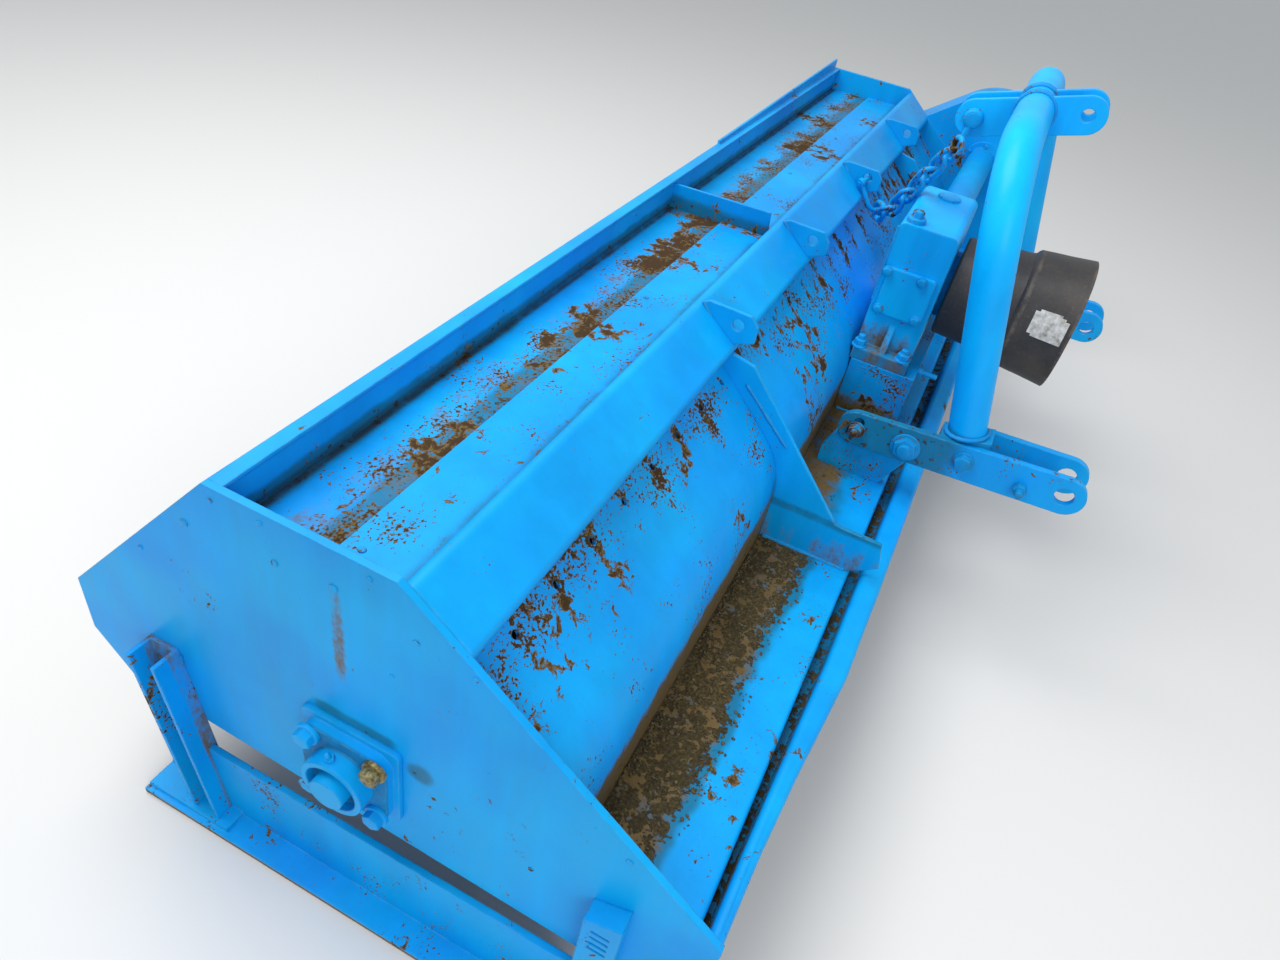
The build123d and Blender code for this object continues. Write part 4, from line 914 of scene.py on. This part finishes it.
arm_paint = blue_coat("arm_paint", freckles=0.30, growth=arm_moss, edge=0.004, depth=0.0015)
dress(arm_paint, "lower_arm_near", "lower_arm_far")
dress(blue_coat("lug_paint", freckles=0.36, growth=0.34, edge=0.004, depth=0.0016), "hitch_lugs")
arm_centres = ((1130, -1), (1960, 1))
arm_face = 46
bolt_holes = {"foot": (-633, 167), "spacer": (-750, 158), "pivot": (-520, 150), "stop": (-416, 147)}
bolt_paint = blue_coat("arm_bolt_paint", freckles=0.44, growth=0.40, edge=0.002)
headstock_bolts = bmesh.new()
for centre, outward in arm_centres:
    outer, inner = centre + outward * arm_face, centre - outward * arm_face
    bolt(headstock_bolts, at(outer, *bolt_holes["foot"]), (outward, 0, 0), 0.030, 0.014, 0.003, 0.0, 0.3)
    bolt(headstock_bolts, at(inner, *bolt_holes["foot"]), (-outward, 0, 0), 0.030, 0.016, 0.003, 0.006)
    bolt(headstock_bolts, at(outer, *bolt_holes["spacer"]), (outward, 0, 0), 0.024, 0.016, 0.0, 0.014, 0.5)
    bolt(headstock_bolts, at(inner, *bolt_holes["spacer"]), (-outward, 0, 0), 0.024, 0.013, 0.0)
    drum(headstock_bolts, upright(at(inner, *bolt_holes["spacer"]), (outward, 0, 0)), 0, 0.092, 0.0098)
    drum(headstock_bolts, upright(at(inner, *bolt_holes["foot"]), (outward, 0, 0)), 0, 0.092, 0.0098)
    head = upright(at(outer, *bolt_holes["pivot"]), (outward, 0, 0))
    drum(headstock_bolts, head, -0.038, 0.002, 0.0198)
    bolt(headstock_bolts, at(outer, *bolt_holes["pivot"]), (outward, 0, 0), 0.042, 0.012, 0.003, 0.008, 0.2)
    nut_seat = upright(at(centre + outward * 9, *bolt_holes["pivot"]), (-outward, 0, 0))
    drum(headstock_bolts, nut_seat, 0, 0.012, 0.025, segments=6, soft=0.002)
fitted(headstock_bolts, "headstock_bolts", "headstock", bolt_paint, "blue_paint", "arm_pins")
stops = bmesh.new()
for centre, outward in arm_centres:
    lug_side = at(centre + outward * 10, *bolt_holes["stop"])
    arm_side = at(centre + outward * 47, *bolt_holes["stop"])
    drum(stops, upright(lug_side, (outward, 0, 0)), 0, 0.037, 0.0088)
    bolt(stops, arm_side, (outward, 0, 0), 0.026, 0.012, 0.003, 0.006, 0.1)
    bolt(stops, lug_side, (-outward, 0, 0), 0.026, 0.012, 0.003, 0.0, 0.4)
rusty_bolt = blue_coat("stop_bolt_paint", freckles=0.72, growth=0.5, edge=0.002)
fitted(stops, "stop_bolt_nuts", "machine", rusty_bolt, "blue_paint", "stop_bolts")

# Arch: a bent tube welded on two feet between the arm plates, with the top-link plates round its crown.
# The arch and the top-link plates take the lighter blue, which is painted sunlight.
arch_paint = blue_coat(
    "arch_paint", paint=painted_sunlight_blue, freckles=0.13, edge=0.004,
    growth=lambda tree, spot: share(tree, 0.55, rise(tree, spot, "Z", at(0, 0, 232).z, at(0, 0, 205).z)))
dress(arch_paint, "arch_tube")
top_plate_paint = blue_coat("plate_ear_paint", paint=painted_sunlight_blue, freckles=0.20, edge=0.004, growth=0.05)
dress(top_plate_paint, "top_link_plates")
arch_lean = math.radians(14)
arch_radius = 0.0385
collars = bmesh.new()
for x in (1130, 1960):
    foot = at(x, -617, 209)
    ring = []
    for step in range(40):
        turned = math.tau * step / 40
        level = arch_radius * math.cos(turned)
        ring.append(foot + Vector((arch_radius * math.sin(turned), level, -level * math.tan(arch_lean))))
    swell = [0.8 + 0.3 * abs(math.sin(1.9 * step)) for step in range(40)]
    bar(collars, ring, 0.005, closed=True, swell=swell, sides=1)
for x in (1505, 1517, 1573, 1585):
    centre = at(x, -490.3, 717)
    around = [centre + arch_radius * Vector((0, math.cos(math.tau * step / 36), math.sin(math.tau * step / 36)))
              for step in range(36)]
    swell = [0.8 + 0.3 * abs(math.sin(1.7 * step)) for step in range(36)]
    bar(collars, around, 0.0042, closed=True, swell=swell, sides=1)
arch_weld_paint = blue_coat("arch_weld_paint", freckles=0.30, grime=0.22)
fitted(collars, "arch_welds", "headstock", arch_weld_paint, "blue_paint")

# Check chain: an eye on the chain pin, eight forged links lying flat and upright by turns, and a
# shackle on the third ear. It was sprayed blue in place, and rubs bright and rusty where links touch.
chain_paint = blue_coat("chain_paint", freckles=0.50, edge=0.0015, growth=0.22, depth=0.0008)
wire = 0.0063
inner_radius = 0.012
bend_radius = inner_radius + wire
# How far the plain link's many-sided end reaches past the centre of its bend.
plain_end_reach = 0.02526


def link_path(centre, run, across, half, steps=12):
    """The middle line of a link whose two end centres lie half either way along run."""
    path = []
    for sign in (1, -1):
        for step in range(steps + 1):
            turned = math.pi * step / steps - math.pi / 2
            path.append(centre + sign * (run * (half + bend_radius * math.cos(turned))
                                         + across * bend_radius * math.sin(turned)))
    return path


links = bmesh.new()
cad_links = bmesh.new()
cad_links.from_mesh(nodes["check_chain"].data)
bmesh.ops.remove_doubles(cad_links, verts=cad_links.verts, dist=1e-6)
waiting = set(cad_links.verts)
while waiting:
    island = {waiting.pop()}
    reached = list(island)
    while reached:
        for joined in reached.pop().link_edges:
            for corner in joined.verts:
                if corner in waiting:
                    waiting.discard(corner)
                    island.add(corner)
                    reached.append(corner)
    places = np.array([corner.co for corner in island])
    middle = places.mean(axis=0)
    axes = np.linalg.svd(places - middle, full_matrices=False)[2]
    run, across = Vector(axes[0]), Vector(axes[1])
    spread = (places - middle) @ axes[0]
    half = (spread.max() - spread.min()) / 2 - plain_end_reach
    bar(links, link_path(Vector(middle), run, across, half), wire, closed=True, sides=3)
cad_links.free()
chain = fitted(links, "chain_links", None, chain_paint, "chain_paint", "check_chain", smooth=60)

eye_swing = math.radians(8)
pin_centre = at(1497, -384, 676)
eye_hang = Vector((0, math.sin(eye_swing), -math.cos(eye_swing)))
eye_centre = pin_centre + eye_hang * 0.060
bow_root = at(1724, -188, 427.8)
bow_swing, bow_twist = math.radians(36), math.radians(38)
bow_hang = Vector((0, -math.sin(bow_swing), -math.cos(bow_swing)))
bow_across = Vector((math.cos(bow_twist), -math.sin(bow_twist), 0))
bow_across = (bow_across - bow_hang * bow_across.dot(bow_hang)).normalized()
bow_foot = bow_root + bow_hang * 0.078
flat_run = bow_foot - eye_centre
flat_run.z = 0
flat_run.normalize()
eye = bmesh.new()
pin_seat = upright(at(1490, -384, 676), (1, 0, 0))
drum(eye, pin_seat, 0, 0.114, 0.0118)
drum(eye, upright(at(1504, -384, 676), (-1, 0, 0)), 0, 0.0138, 0.0205, 0.0172, soft=0.003)
bolt(eye, at(1586, -384, 676), (1, 0, 0), 0.030, 0.013, 0.0, 0.004)
bar(eye, [pin_centre, pin_centre + eye_hang * 0.041], wire, sides=4)
loop_path = []
for step in range(40):
    turned = math.tau * step / 40
    loop_path.append(eye_centre + bend_radius * (
        flat_run * math.cos(turned) + Vector((0, 0, 1)) * math.sin(turned)))
bar(eye, loop_path, wire, closed=True, sides=4)
fitted(eye, "chain_eye", "headstock", chain_paint, "chain_paint", "chain_eye_pin", smooth=60)
shackle = bmesh.new()
bow_half = 0.022
leg_drop = bow_hang * 0.028
near_leg, far_leg = bow_root - bow_across * bow_half, bow_root + bow_across * bow_half
bow_path = [near_leg, near_leg + leg_drop]
for step in range(17):
    turned = math.pi * step / 16
    drop = 0.056 + bow_half * math.sin(turned)
    bow_path.append(bow_root + bow_hang * drop - bow_across * bow_half * math.cos(turned))
bow_path += [far_leg + leg_drop, far_leg]
bar(shackle, bow_path, 0.0056, sides=4)
for side in (-1, 1):
    boss = upright(bow_root + bow_across * (bow_half * side - 0.0065), bow_across)
    drum(shackle, boss, 0, 0.013, 0.0110, soft=0.002)
drum(shackle, upright(bow_root - bow_across * 0.031, bow_across), 0, 0.062, 0.0053)
bolt(shackle, bow_root + bow_across * 0.0285, bow_across, 0.015, 0.007)
fitted(shackle, "ear_shackle", "machine", chain_paint, "chain_paint", "chain_shackle", smooth=50)
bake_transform(chain)

# Rotor: tube and lugs painted once and long since scoured, with bare worn hammers.
def inside_housing(amount):
    """A mask of the rotor between the end plates, where cut stalks scour it."""
    return lambda tree, spot: calc(tree, "ADD", share(tree, amount, band(
        tree, spot, "X", at(1300, 0, 0).x, 1.285, 0.008)), 0.12)


rotor_paint = blue_coat(
    "rotor_paint", edge=0.005,
    freckles=inside_housing(0.60), growth=inside_housing(0.22), stain=inside_housing(0.26))
dress(rotor_paint, "rotor_tube", "rotor_lugs")
hammer, hammer_tree, hammer_shader, hammer_spot = blank_finish("hammer_steel")
scour = grain(hammer_tree, hammer_spot, 28.0, 8.0, 0.7)
feed(hammer_tree, hammer_shader.inputs["Base Color"], ramp(
    hammer_tree, scour,
    (0.30, (0.055, 0.030, 0.016)), (0.48, (0.14, 0.085, 0.05)), (0.66, (0.30, 0.27, 0.24))))
feed(hammer_tree, hammer_shader.inputs["Metallic"], stepped(hammer_tree, scour, 0.45, 0.65, 0.1, 0.9))
feed(hammer_tree, hammer_shader.inputs["Roughness"], stepped(hammer_tree, scour, 0.35, 0.7, 0.75, 0.42))
feed(hammer_tree, hammer_shader.inputs["Normal"], put(hammer_tree, "ShaderNodeBump", {
    "Height": scour, "Distance": 0.002}).outputs["Normal"])
dress(hammer, "flails")
